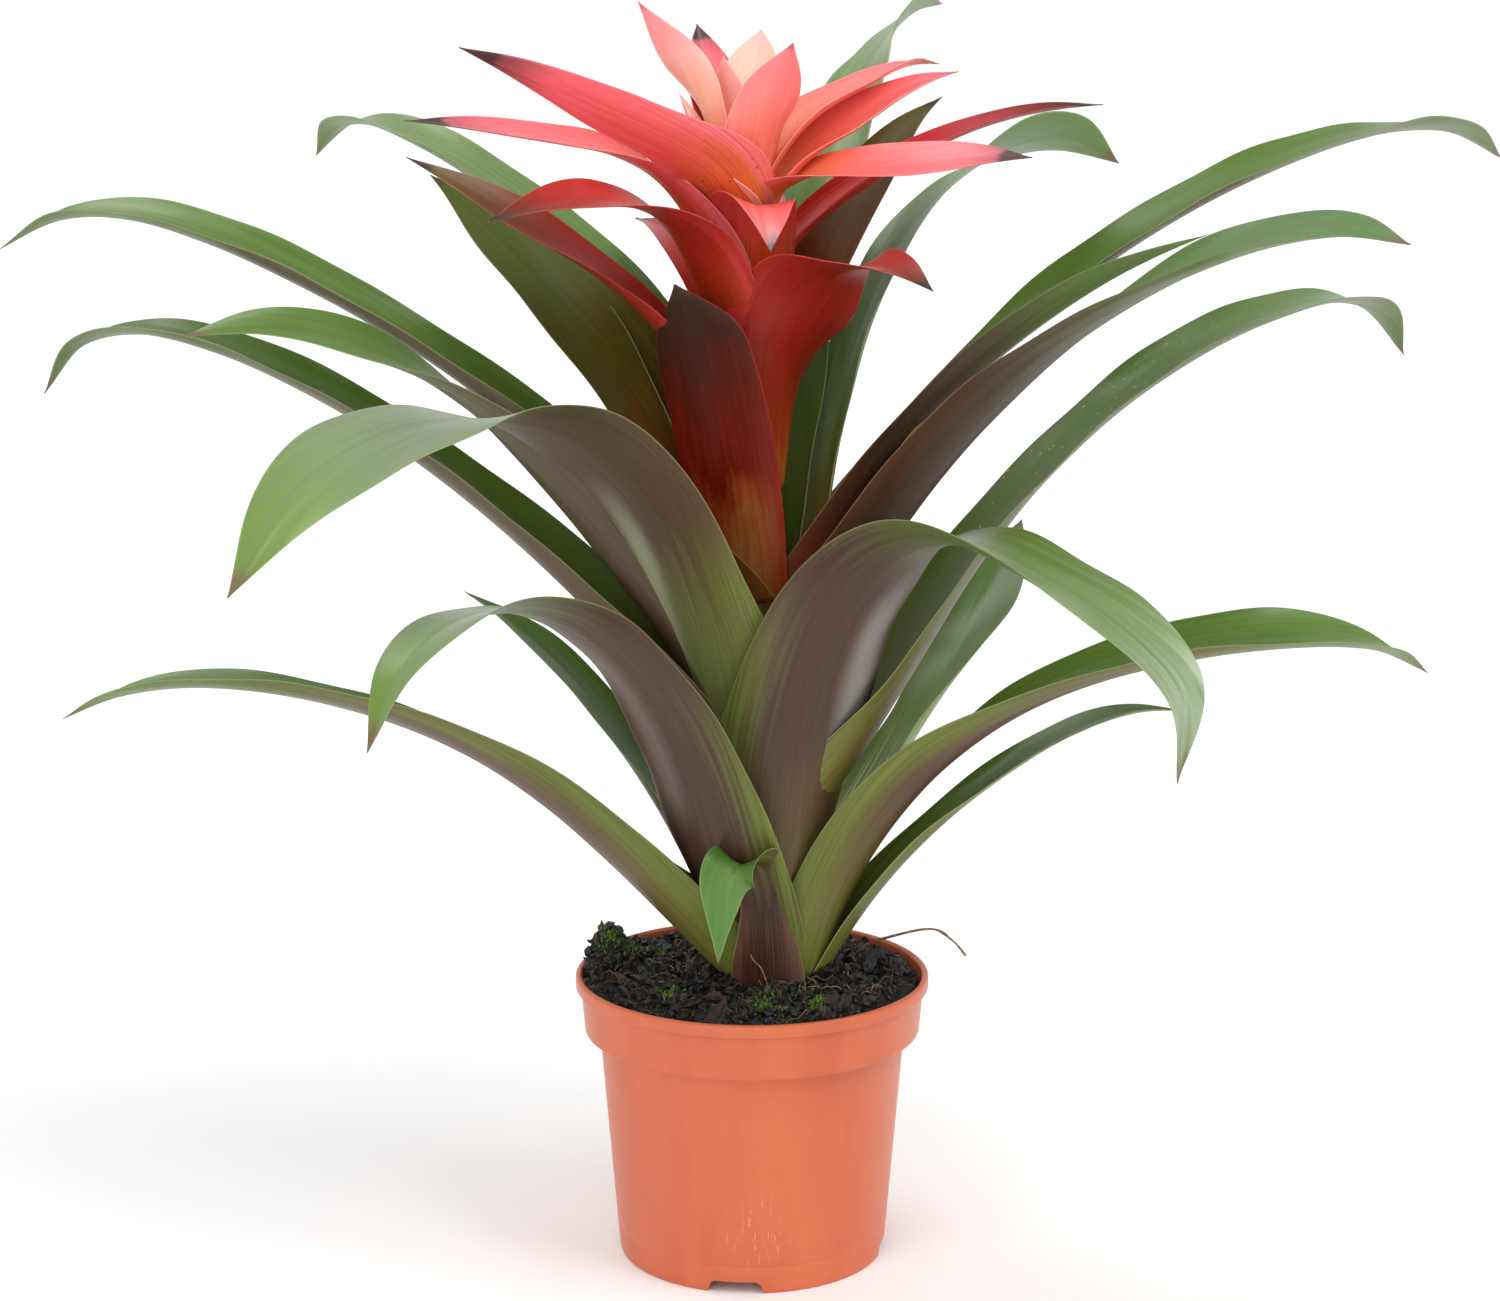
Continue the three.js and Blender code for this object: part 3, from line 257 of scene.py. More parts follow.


# Colours of the upper and the lower face, as stops from root (0) to tip (1). side tints the lower face
# towards its margins between the shares of side_span, on one side alone where it has a lean. stripe colours
# thin lines up to the share stripe_end, streaky strong. margin is the thin rim and rim its strength. tip
# colours the point from tip_start on. A look's pale band, where it has one, is a painted sheen, given as
# colour, strength, place across, start and end. specks are small spots between the shares in speck_span.
# blotch is how far the colours wander, shine the gloss of the skin and wax the gloss over the upper face.
LOOKS = {
    "strap": paint(
        GREEN_UPPER,
        "0 #8a8448, 0.12 #806048, 0.35 #74604c, 0.6 #746c50, 0.8 #788c4c, 1 #78924c",
        side=("#7f7a50", 0.3), stripe="#6b3f30", stripe_end=0.35, margin="#b9c48e", tip_start=0.975),
    "strap_pale": paint(
        "0 #7c9034, 0.4 #6c9440, 0.7 #8cac64, 1 #7ca43c",
        "0 #8c6c48, 0.3 #6c5c3c, 0.5 #6c8040, 0.7 #7ca04c, 1 #749840",
        side=("#7ca040", 0.4), stripe="#8a6a40", stripe_end=0.25, margin="#c3cda0"),
    "strap_specked": paint(
        GREEN_UPPER,
        "0 #9aa24c, 0.15 #8c6034, 0.32 #705040, 0.55 #74784c, 1 #78924c",
        side=("#86984a", 0.7), stripe="#7a4030", stripe_end=0.4, margin="#b9c48e", tip_start=0.975,
        specks="#d0c050", speck_span=(0.3, 0.8)),
    "strap_low": paint(
        GREEN_UPPER,
        "0 #98a248, 0.12 #867c40, 0.28 #745040, 0.5 #7a6440, 0.75 #7b8f44, 1 #7c9a44",
        side=("#84983c", 0.85), stripe="#6b3c30", stripe_end=0.6, margin="#b9c48e"),
    "front_low": paint(
        SHEEN_PAINTED_UPPER,
        "0 #7c6840, 0.1 #5e3e2e, 0.26 #62443a, 0.6 #624838, 0.72 #6c7840, 1 #7c9c44",
        side=("#8a9c44", 0.85), side_span=(0.5, 0.25), lean=-1, stripe="#54302c", stripe_end=0.7,
        margin="#a8a468", tip_start=0.975, gleam=("#a09a94", 0.22, 0.5, 0.2, 0.6)),
    "front_high": paint(
        SHEEN_PAINTED_UPPER,
        "0 #a4b468, 0.12 #98a45c, 0.2 #8c9450, 0.29 #70543c, 0.55 #68543c, 0.68 #6c7840, 1 #7c9c44",
        side=("#93a048", 0.85), side_span=(0.34, 0.2), lean=-1, stripe="#6a4030", stripe_end=0.5,
        margin="#b9bf80", tip_start=0.975, gleam=("#b8bc9c", 0.6, 0.6, 0.06, 0.4)),
    "front_broad": paint(
        # The upper face turns pale grey-green near the tip: a painted sheen.
        "0 #84883c, 0.5 #74903c, 0.65 #7c9c44, 0.8 #8cac64, 0.92 #b8c8a4, 1 #90a068",
        "0 #8c8848, 0.1 #7c6440, 0.22 #684c3e, 0.45 #644840, 0.58 #6a7440, 1 #789a48",
        side=("#90a04c", 0.85), side_span=(0.45, 0.2), lean=1, stripe="#5b3828", stripe_end=0.7,
        margin="#aeb878", tip_start=0.98, gleam=("#b8b4b0", 0.5, -0.62, 0.16, 0.48)),
    "inner": paint(
        "0 #c8501c, 0.2 #b04420, 0.42 #6e5a20, 0.7 #626e20, 1 #5c6c24",
        "0 #c8501c, 0.2 #b04420, 0.42 #705828, 0.7 #667024, 1 #5c6c28",
        side=("#74803c", 0.4), stripe="#7a7c34", margin="#8f9a58", tip="#4a3a28", blotch=0.3, shine=0.18,
        wax=0),
    "dusky": paint(
        "0 #b84c20, 0.15 #984c24, 0.3 #6b6a30, 0.5 #5c8a2c, 1 #64963a",
        "0 #b84c20, 0.13 #9c4020, 0.26 #603c2c, 0.5 #584430, 0.62 #64603c, 0.78 #6f8c3c, 1 #789a48",
        side=("#7c5034", 0.5), stripe="#7a3424", stripe_end=0.35, margin="#a08a68", tip_start=0.975),
    "streaked": paint(
        "0 #f0f0c8, 0.2 #b4c464, 0.4 #7c9c34, 1 #649434",
        "0 #f0f0c8, 0.2 #b4c464, 0.4 #7ca03c, 1 #749c3c",
        side=("#a4b858", 0.4), stripe="#fcfcf0", stripe_end=0.6, streaky=0.95, margin="#c3d090",
        tip_start=0.98),
    "back_tan": paint(
        "0 #d88850, 0.25 #b4a048, 0.4 #7c9c40, 0.7 #88b064, 1 #7ca044",
        "0 #e07c40, 0.25 #c0a44c, 0.4 #7c9c44, 0.7 #94b870, 1 #7ca044",
        side=("#a0b868", 0.5), stripe="#d8d090", stripe_end=0.4, margin="#c9d4a8", tip_start=0.975),
    "short": paint(
        "0 #647c2c, 0.6 #689a38, 1 #70a444",
        "0 #4a2a1c, 0.35 #462618, 0.5 #6b5a30, 0.6 #7c9c44, 1 #80a84c",
        side=("#8c5c44", 0.6), stripe="#8a5c3c", stripe_end=0.5, margin="#b9d08e", tip_start=0.98),
    "bract_dark": paint(
        "0 #a8963c, 0.12 #b0501c, 0.3 #8a2410, 0.55 #6a2414, 1 #3c2412",
        "0 #74883a, 0.16 #9c9444, 0.27 #c89448, 0.38 #b85424, 0.48 #881c0c, 0.6 #8c2414, 0.8 #542414, "
        "1 #42301a",
        side=("#b42c1c", 0.8), stripe="#b83420", margin="#c8342c", rim=0.4, tip="#3c3224", blotch=0.45,
        shine=0.16, wax=0.1),
    "bract_olive": paint(
        "0 #e07028, 0.2 #c03c1c, 0.42 #905020, 0.7 #746020, 1 #646024",
        "0 #d86828, 0.15 #b04c18, 0.35 #8c5c1c, 0.65 #747020, 1 #6c7028",
        side=("#8c3028", 0.25), stripe="#6c5c20", margin="#a04038", tip="#3c3028", tip_start=0.95,
        blotch=0.4, shine=0.12, wax=0),
    "bract_red": paint(
        "0 #e09838, 0.15 #e05428, 0.5 #e0382c, 0.8 #cc3830, 1 #5c4428",
        "0 #e09838, 0.15 #d45020, 0.35 #c42c18, 0.7 #c03028, 1 #5c4428",
        side=("#e8504c", 0.6), stripe="#b02c20", margin="#f07870", tip="#3c3028", tip_start=0.95,
        blotch=0.2, shine=0.2, wax=0.25),
    "bract_scarlet": paint(
        "0 #d85828, 0.2 #d43c2c, 0.6 #c83c34, 0.8 #8c5430, 1 #7c7844",
        "0 #d85828, 0.2 #cc3428, 0.5 #c43830, 0.72 #a04c30, 0.85 #847440, 1 #7c7848",
        side=("#d84c40", 0.6), stripe="#903020", margin="#d86058", tip="#3c3028", tip_start=0.95,
        blotch=0.2, shine=0.2, wax=0.2),
    "bract_deep": paint(
        "0 #d87038, 0.2 #dc4434, 0.5 #e4444c, 0.7 #cc383c, 0.85 #84301c, 1 #443020",
        "0 #d06c38, 0.2 #d83c34, 0.5 #e0444c, 0.7 #c83438, 0.85 #80301c, 1 #443020",
        side=("#d04848", 0.5), stripe="#b03030", margin="#d86860", tip="#3a2a24", tip_start=0.93,
        blotch=0.15, shine=0.2, wax=0.2),
    "bract_fold": paint(
        "0 #b08030, 0.3 #d85030, 0.55 #e85850, 0.78 #f0807c, 0.92 #e8a4a4, 1 #a8a0a4",
        "0 #c8b040, 0.2 #d08438, 0.34 #e0602c, 0.5 #e45040, 0.75 #e06860, 1 #a09ca0",
        side=("#c83c30", 0.5), stripe="#9c3020", stripe_end=0.6, margin="#e08078", tip="#6e6468",
        blotch=0.15, shine=0.2, wax=0.25),
    "bract_coral": paint(
        "0 #f0b048, 0.2 #f09c5c, 0.42 #f4847c, 0.75 #f88c98, 1 #b8485c",
        "0 #f0ac40, 0.2 #e88448, 0.4 #ee6c64, 0.75 #f07480, 0.9 #b04c4c, 1 #5c3030",
        side=("#f89cac", 0.75), stripe="#d8484c", margin="#f8a0a8", tip="#4a2828", tip_start=0.9,
        specks="#4c1c10", speck_span=(0.02, 0.3)),
    "bract_peach": paint(
        "0 #f0a040, 0.25 #f4b46c, 0.5 #fcd0ac, 0.75 #fcd4c8, 1 #f8a8b4",
        "0 #f0a848, 0.25 #f8b870, 0.5 #fcdcc4, 0.75 #fcdcd8, 1 #fcb8c0",
        side=("#fcacb8", 0.5), stripe="#f4a880", margin="#fcb8c4", tip="#f07890", specks="#4c1c10",
        speck_span=(0.05, 0.45)),
    "bract_pink": paint(
        "0 #f0b048, 0.22 #f0a058, 0.45 #f4947c, 0.8 #f49498, 1 #e0788c",
        "0 #f4b44c, 0.22 #f8b068, 0.42 #f8a888, 0.75 #fcb0ac, 1 #f4a0a4",
        side=("#fcb8c0", 0.5), stripe="#e87468", margin="#f8c0b8", tip="#c06870", specks="#4c1c10",
        speck_span=(0.05, 0.45)),
    "bract_cream": paint(
        "0 #f0b868, 0.3 #fcdcc0, 0.6 #fce8dc, 1 #f8d4d0",
        "0 #f0a860, 0.3 #f8ccb0, 0.6 #fcdcd4, 1 #f8c8c8",
        side=("#fcd8d0", 0.5), stripe="#f4b8a8", margin="#fce8e0", tip="#f0b8b0"),
}

# Dry root over the rim at the right, and the small dry fibre beside the short front leaf.
ROOT_ROUTE = [(33, 12, 95), (38, 10, 103), (48, 5, 108.5), (61, 0, 112.5), (68, -2, 109), (72.5, -3, 104)]
ROOT_THICKNESS = 1.2
WISP_THICKNESS = 0.8
WISP_ROUTE = [(-1, -22, 114), (0, -25, 110), (3, -27, 107), (6, -30, 100)]

# Camera at the photograph's viewing angle.
IMAGE_WIDTH = 1500
FOCAL_PIXELS = 3064
SENSOR_WIDTH = 36
CAMERA_PLACE = (-0.7, -1000, 414.3)
CAMERA_PITCH = 11.6

# Studio: the floor's half width, and how the white walls fade upwards.
FLOOR_REACH = 12000
WALL_LIGHT = {"From Min": 0.12, "From Max": 0.5, "To Min": 1.02, "To Max": 0.45}


def linear(code):
    """Scene-linear colour of a hex code."""
    values = []
    for k in (1, 3, 5):
        share = int(code[k:k + 2], 16) / 255
        values.append(share / 12.92 if share <= 0.04045 else ((share + 0.055) / 1.055) ** 2.4)
    return (*values, 1)


class Shader:
    """Short calls that build one material's nodes."""

    def __init__(self, name):
        self.material = bpy.data.materials.new(name)
        self.material.use_nodes = True
        self.tree = self.material.node_tree
        self.surface = self.tree.nodes["Principled BSDF"]

    def plug(self, socket, value):
        if isinstance(value, bpy.types.NodeSocket):
            self.tree.links.new(value, socket)
        elif value is not None:
            socket.default_value = value

    def node(self, kind, inputs=None, **settings):
        made = self.tree.nodes.new(kind)
        for key, value in settings.items():
            setattr(made, key, value)
        for key, value in (inputs or {}).items():
            self.plug(made.inputs[key], value)
        return made

    def math(self, operation, a, b=None, c=None):
        made = self.node("ShaderNodeMath", operation=operation)
        for socket, value in zip(made.inputs, (a, b, c)):
            self.plug(socket, value)
        return made.outputs[0]

    def times(self, product, *factors):
        for factor in factors:
            product = self.math("MULTIPLY", product, factor)
        return product

    def sway(self, base, noise, strength):
        """The base, moved up and down by a noise."""
        return self.math("MULTIPLY_ADD", self.math("SUBTRACT", noise, 0.5), strength, base)

    def fade(self, value, start, end):
        """0 where value is at start, 1 where it is at end, smooth between."""
        made = self.node("ShaderNodeMapRange", {"Value": value, "From Min": start, "From Max": end},
                         interpolation_type="SMOOTHSTEP")
        return made.outputs["Result"]

    def zone(self, value, start, end, rise, fall):
        """1 between start and end, with soft ends inside them."""
        return self.times(self.fade(value, start, start + rise), self.fade(value, end, end - fall))

    def mix(self, share, a, b, blend="MIX"):
        made = self.node("ShaderNodeMix", data_type="RGBA", blend_type=blend)
        self.plug(made.inputs[0], share)
        self.plug(made.inputs[6], a)
        self.plug(made.inputs[7], b)
        return made.outputs[2]

    def tint(self, shade, code, *strengths):
        """The shade with a colour over it, as strong as the product of the strengths."""
        return self.mix(self.times(*strengths), shade, linear(code))

    def mottle(self, shade, noise, strength, stops):
        """The shade made darker and lighter by the greys that a noise picks."""
        return self.mix(strength, shade, self.ramp(noise, stops), "OVERLAY")

    def ramp(self, share, stops):
        """Colours from a text of stops, each a place and a hex code."""
        made = self.node("ShaderNodeValToRGB", {"Fac": share})
        bands = made.color_ramp.elements
        while len(bands) > 1:
            bands.remove(bands[-1])
        for k, stop in enumerate(stops.split(", ")):
            position, code = stop.split()
            band = bands[0] if k == 0 else bands.new(float(position))
            band.position = float(position)
            band.color = linear(code)
        return made.outputs["Color"]

    def attribute(self, name, output="Fac"):
        return self.node("ShaderNodeAttribute", attribute_name=name).outputs[output]

    def place(self):
        return self.node("ShaderNodeTexCoord").outputs["Object"]

    def split(self, vector):
        return self.node("ShaderNodeSeparateXYZ", {"Vector": vector}).outputs

    def stretch(self, vector, scale):
        made = self.node("ShaderNodeVectorMath", {0: vector, 1: scale}, operation="MULTIPLY")
        return made.outputs["Vector"]

    def distance(self, place, spot):
        made = self.node("ShaderNodeVectorMath", {0: place, 1: spot}, operation="DISTANCE")
        return made.outputs["Value"]

    def noise(self, vector, scale, detail=2, rough=0.5):
        made = self.node("ShaderNodeTexNoise", {"Vector": self.stretch(vector, scale), "Scale": 1,
                                                "Detail": detail, "Roughness": rough})
        return made.outputs["Fac"]

    def cells(self, vector, scale):
        inputs = {"Vector": self.stretch(vector, scale), "Scale": 1}
        return self.node("ShaderNodeTexVoronoi", inputs).outputs

    def bump(self, height, distance, strength):
        made = self.node("ShaderNodeBump", {"Height": height, "Distance": distance, "Strength": strength})
        return made.outputs["Normal"]

    def finish(self, **inputs):
        for key, value in inputs.items():
            self.plug(self.surface.inputs[key.replace("_", " ")], value)
        return self.material


def unit(vector):
    return vector / np.linalg.norm(vector)


def polar(radius, angle):
    return radius * math.cos(angle), radius * math.sin(angle)


def along(values, s):
    """Smooth value at the shares s (0 to 1) through evenly spaced values."""
    values = np.asarray(values, float)
    last = len(values) - 1
    if last == 0:
        return np.repeat(values, len(s), axis=0)
    x = np.clip(s, 0, 1) * last
    i = np.minimum(np.floor(x).astype(int), last - 1)
    t = x - i
    padded = np.concatenate([[2 * values[0] - values[1]], values, [2 * values[-1] - values[-2]]])
    a, b, c, d = (padded[i + k] for k in range(4))
    if values.ndim > 1:
        t = t[:, None]
    return 0.5 * (2 * b + (c - a) * t + (2 * a - 5 * b + 4 * c - d) * t**2 + (3 * b - a - 3 * c + d) * t**3)


def stem_share(z):
    return (z - STEM_FOOT[2]) / (STEM_HEAD[2] - STEM_FOOT[2])


def stem_axis(z):
    return STEM_FOOT + (STEM_HEAD - STEM_FOOT) * stem_share(z)


def stem_radius(z):
    share = min(max(stem_share(z), 0), 1)
    return STEM_FOOT_RADIUS + (STEM_HEAD_RADIUS - STEM_FOOT_RADIUS) * share


def directions(row, s):
    """The ways a blade runs, lies across and faces up, at the shares s of its length."""
    rise = np.radians(along(row["rise"], s))
    head = np.radians(row["azimuth"] + along(row["turn"], s))
    roll = np.radians(along(row["roll"], s))
    flat = np.zeros_like(s)
    run = np.stack([np.cos(head) * np.cos(rise), np.sin(head) * np.cos(rise), np.sin(rise)], 1)
    side = np.stack([np.sin(head), -np.cos(head), flat], 1)
    top = np.stack([-np.cos(head) * np.sin(rise), -np.sin(head) * np.sin(rise), np.cos(rise)], 1)
    turned = np.cos(roll)[:, None]
    tilted = np.sin(roll)[:, None]
    across = side * turned - np.cross(run, side) * tilted
    up = top * turned - np.cross(run, top) * tilted
    return run, across, up


def stand_off(row):
    return stem_radius(row["root"]) + SHEATH_CLEARANCE + row["out"]


def midrib(row, kind, s):
    """Places of the midrib at the shares s, on a smooth line through the solid blade's stations."""
    stations = kind["stations"]
    run, _, _ = directions(row, np.linspace(0, 1, stations + 1))
    heading = math.radians(row["azimuth"])
    foot = stem_axis(row["root"]) + stand_off(row) * np.array([math.cos(heading), math.sin(heading), 0])
    hops = (run[1:] + run[:-1]) * (row["length"] / stations / 2)
    places = np.concatenate([[foot], foot + np.cumsum(hops, axis=0)])
    return along(places, s)


def add_object(name, data):
    made = bpy.data.objects.new(name, data)
    bpy.context.collection.objects.link(made)
    return made


def add_mesh(name, points, faces):
    """A mesh object in metres from points in millimetres."""
    mesh = bpy.data.meshes.new(name)
    mesh.from_pydata((np.asarray(points) * MM).tolist(), [], faces)
    return add_object(name, mesh)


def new_piece(name, points, faces, material, smooth=True):
    """A mesh piece that rides on the part."""
    piece = add_mesh(name, points, faces)
    piece.data.polygons.foreach_set("use_smooth", [smooth] * len(piece.data.polygons))
    piece.data.materials.append(material)
    piece.data.update()
    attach(piece, "root")
    return piece


def keep_values(mesh, name, values, domain="POINT"):
    """Stores a number or a vector for each point or face, for the material to read."""
    values = np.asarray(values, np.float32)
    if values.ndim == 2:
        mesh.attributes.new(name, "FLOAT_VECTOR", domain).data.foreach_set("vector", values.ravel())
    else:
        mesh.attributes.new(name, "FLOAT", domain).data.foreach_set("value", values)


def ring_skin(rows, ring):
    """Faces of a closed skin over rows of points, each row a ring."""
    faces = []
    for i in range(rows - 1):
        for k in range(ring):
            a = i * ring + k
            b = i * ring + (k + 1) % ring
            faces.append((a, b, b + ring, a + ring))
    start = list(range(ring))[::-1]
    end = [(rows - 1) * ring + k for k in range(ring)]
    return faces + [start, end]


def blade(row, kind, seed, material):
    """One strap blade: a thin closed skin, thick at the midrib and thin at its margins and tip."""
    draw = np.random.default_rng(seed)
    s = np.linspace(0, 1, kind["steps"] + 1)
    place = midrib(row, kind, s)
    _, across, up = directions(row, s)
    outline = row.get("outline", kind["outline"])
    clasp = min(math.degrees(row["width"] * outline[0] / 2 / stand_off(row)), WIDEST_CLASP)
    cup = [clasp] + [angle * row["curl"] for angle in kind["cup"][1:]]
    width = np.maximum(row["width"] * along(outline, s), SHARP_TIP)
    bend = np.radians(along(cup, s))
    radius = width / 2 / bend
    waves = draw.uniform(-math.pi, math.pi, 4)
    span = s * row["length"]
    taper = np.clip((1 - s) / TIP_SHARE, THIN_TIP, 1)
    calm = np.clip(s * 5, 0, 1) * np.clip(width / row["width"], 0, 1)
    grooved = np.clip(width / GROOVED_WIDTH, 0, 1)
    columns = kind["columns"]
    share = np.sin(np.linspace(-math.pi / 2, math.pi / 2, columns + 1))
    skins = []
    for side in (1, -1):
        grid = []
        for a in share:
            angle = bend * a
            lift = radius * (1 - np.cos(angle))
            phase = waves[0] if a > 0 else waves[1]
            beat = np.sin(span / LONG_WAVE + phase) + 0.6 * np.sin(span / SHORT_WAVE + waves[2] + 2 * a)
            ripple = kind["wave"] * beat * a**4 * calm
            groove = -kind["groove"] * np.exp(-((radius * angle / GROOVE_REACH) ** 2)) * grooved
            half = kind["margin"] / 2 + (kind["thickness"] - kind["margin"]) / 2 * (1 - abs(a) ** 3)
            flare = half * taper * (0 if abs(a) > 0.9999 else side)
            normal = up * np.cos(angle)[:, None] - across * np.sin(angle)[:, None]
            middle = place + across * (radius * np.sin(angle))[:, None] + up * lift[:, None]
            grid.append(middle + normal * (flare + ripple + groove)[:, None])
        skins.append(np.stack(grid, 1))
    upper, lower = skins
    points = np.concatenate([upper, lower[:, 1:columns][:, ::-1]], axis=1)
    around = share[np.concatenate([np.arange(columns + 1), np.arange(columns - 1, 0, -1)])]
    faces = ring_skin(len(s), 2 * columns)
    on_top = ([1.0] * columns + [0.0] * columns) * kind["steps"] + [0.0, 0.0]
    piece = new_piece(row["name"] + "_blade", points.reshape(-1, 3), faces, material)
    half_width = (width / 2)[:, None]
    spread = around * half_width
    margin = (1 - np.abs(around)) * half_width
    wide = np.ones_like(spread)
    detail = np.stack([spread, span[:, None] * wide, wide * seed * STREAK_OFFSET], 2)
    shares = np.stack([s[:, None] * wide, around * wide, margin], 2)
    keep_values(piece.data, "detail_mm", detail.reshape(-1, 3))
    keep_values(piece.data, "share", shares.reshape(-1, 3))
    keep_values(piece.data, "upper", on_top, "FACE")
    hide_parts(row["name"])


def blade_material(name, look, rough, glow):
    """Colours along the blade with lengthwise streaks, a pale rim, a dark point, fine veins, and on some
    looks a painted sheen band.
    """
    sh = Shader(name)
    detail = sh.attribute("detail_mm", "Vector")
    length, width, margin = sh.split(sh.attribute("share", "Vector"))
    upper = sh.attribute("upper")
    streak = sh.noise(detail, (0.55, 0.012, 1), 3)
    fine = sh.noise(detail, (2.6, 0.02, 1))
    cloud = sh.noise(detail, (0.05, 0.02, 1))
    patch = sh.noise(detail, (0.07, 0.035, 1), 3, 0.6)
    wander = sh.sway(sh.sway(length, streak, 0.22), patch, look["blotch"])
    edge = sh.fade(sh.sway(sh.math("ABSOLUTE", width), streak, 0.7), 0.35, 0.95)
    side = sh.times(edge, sh.fade(length, *look["side_span"]))
    if "lean" in look:
        side = sh.times(side, sh.fade(width, -0.2 * look["lean"], 0.3 * look["lean"]))
    side_code, side_strength = look["side"]
    lower = sh.tint(sh.ramp(wander, look["lower"]), side_code, side, side_strength)
    shade = sh.mix(upper, lower, sh.ramp(wander, look["upper"]))
    striped = sh.fade(wander, look["stripe_end"], look["stripe_end"] * 0.3)
    shade = sh.tint(shade, look["stripe"], striped, sh.fade(fine, 0.5, 0.68), look["streaky"])
    shade = sh.mottle(shade, streak, 0.35, "0.3 #606060, 0.7 #a0a0a0")
    shade = sh.mottle(shade, fine, 0.25, "0.3 #707070, 0.7 #909090")
    shade = sh.mottle(shade, cloud, 0.3, "0.3 #686868, 0.7 #989898")
    # A pale band painted over the colours: a painted sheen, not a colour of the leaf.
    if "gleam" in look:
        code, strength, middle, start, end = look["gleam"]
        off = sh.math("ABSOLUTE", sh.math("SUBTRACT", width, middle))
        zone = sh.zone(length, start, end, 0.08, 0.14)
        shade = sh.tint(shade, code, sh.fade(off, 0.42, 0.05), zone, strength)
    if "specks" in look:
        spots = sh.cells(detail, (0.42, 0.3, 1))
        dot = sh.fade(spots["Distance"], 0.2, 0.09)
        some = sh.fade(sh.split(spots["Color"])["X"], 0.6, 0.7)
        zone = sh.zone(length, *look["speck_span"], 0.05, 0.1)
        shade = sh.tint(shade, look["specks"], dot, some, zone, 0.75)
    shade = sh.tint(shade, look["margin"], sh.fade(margin, 0.6, 0.2), look["rim"])
    point = sh.fade(sh.sway(length, streak, 0.05), look["tip_start"] - 0.02, look["tip_start"] + 0.01)
    shade = sh.tint(shade, look["tip"], point)
    veins = sh.math("ADD", fine, sh.times(streak, 1.5))
    rough = sh.sway(rough, cloud, 0.16)
    wax = sh.times(sh.fade(length, 0.2, 0.7), upper, look["wax"])
    return sh.finish(Base_Color=shade, Roughness=rough, Normal=sh.bump(veins, 0.12 * MM, 0.8),
                     Specular_IOR_Level=look["shine"], Coat_Weight=wax, Coat_Roughness=0.3,
                     Subsurface_Weight=glow, Subsurface_Radius=(1, 0.35, 0.25), Subsurface_Scale=2 * MM)


def body_radius(z):
    return FOOT_RADIUS + (BODY_TOP_RADIUS - FOOT_RADIUS) * z / BAND_FOOT_HEIGHT


def lathe(profile, sides):
    """Points and faces of a closed turned skin; a profile point on the axis closes it."""
    points = []
    rings = []
    for radius, z in profile:
        if radius == 0:
            rings.append([len(points)])
            points.append((0, 0, z))
        else:
            rings.append(list(range(len(points), len(points) + sides)))
            for k in range(sides):
                points.append((*polar(radius, 2 * math.pi * k / sides), z))
    faces = []
    for low, high in zip(rings, rings[1:]):
        for k in range(sides):
            n = (k + 1) % sides
            if len(low) == 1:
                faces.append((low[0], high[n], high[k]))
            elif len(high) == 1:
                faces.append((low[k], low[n], high[0]))
            else:
                faces.append((low[k], low[n], high[n], high[k]))
    return points, faces


def arc(centre, radius, start, end, steps):
    """Points of a round stretch of a profile, between two angles in degrees."""
    angles = np.radians(np.linspace(start, end, steps + 1))
    return [(centre[0] + radius * math.cos(a), centre[1] + radius * math.sin(a)) for a in angles]


def pot_profile():
    """Half section of the pot, from the gate boss out, up the outside, over the lip and down inside."""
    inside = FLOOR_HEIGHT + FLOOR_THICKNESS
    lip_foot = POT_HEIGHT - LIP_HEIGHT
    band_foot = BAND_FOOT_HEIGHT
    ring = FOOT_RADIUS - FOOT_RING
    line = MOULD_LINE_HEIGHT
    profile = [(0, 0), (GATE_RADIUS - 0.2, 0), (GATE_RADIUS, 0.3), (GATE_RADIUS - 0.6, FLOOR_HEIGHT)]
    profile += [(ring - 0.4, FLOOR_HEIGHT), (ring, FLOOR_HEIGHT - 0.4), (ring, 0.4), (ring + 0.4, 0)]
    profile += arc((FOOT_RADIUS - 0.8, 0.8), 0.8, -90, 0, 4)
    profile += [(body_radius(line - 0.5), line - 0.5), (body_radius(line) - MOULD_LINE_DEPTH, line)]
    profile += [(body_radius(line + 0.5), line + 0.5)]
    profile += [(body_radius(z), z) for z in range(14, 76, 6)]
    profile += [(BODY_TOP_RADIUS - 0.1, band_foot - 2.2), (BODY_TOP_RADIUS + 0.3, band_foot - 1.2)]
    profile += [(BODY_TOP_RADIUS + 1.2, band_foot - 0.6), (BAND_FOOT_RADIUS - 1.2, band_foot - 0.3)]
    profile += arc((BAND_FOOT_RADIUS - 0.7, band_foot + 0.5), 0.7, -70, 0, 4)
    profile += [(BAND_FOOT_RADIUS + 0.3, band_foot + 4), (BAND_TOP_RADIUS - 0.25, lip_foot - 1.6)]
    profile += [(BAND_TOP_RADIUS, lip_foot - 0.4), (BAND_TOP_RADIUS + 0.7, lip_foot)]
    profile += arc((LIP_RADIUS - 0.7, lip_foot + 0.8), 0.7, -80, 0, 4)
    profile += arc((LIP_RADIUS - 1.2, POT_HEIGHT - 1.2), 1.2, 10, 170, 10)
    profile += [(LIP_RADIUS - 2.4, POT_HEIGHT - 1.6), (BAND_TOP_RADIUS - POT_WALL, lip_foot)]
    profile += [(BAND_FOOT_RADIUS - POT_WALL, band_foot + POT_WALL)]
    profile += [(BODY_TOP_RADIUS - POT_WALL, band_foot + POT_WALL - 0.6)]
    profile += [(body_radius(inside) - POT_WALL, inside), (0, inside)]
    return profile


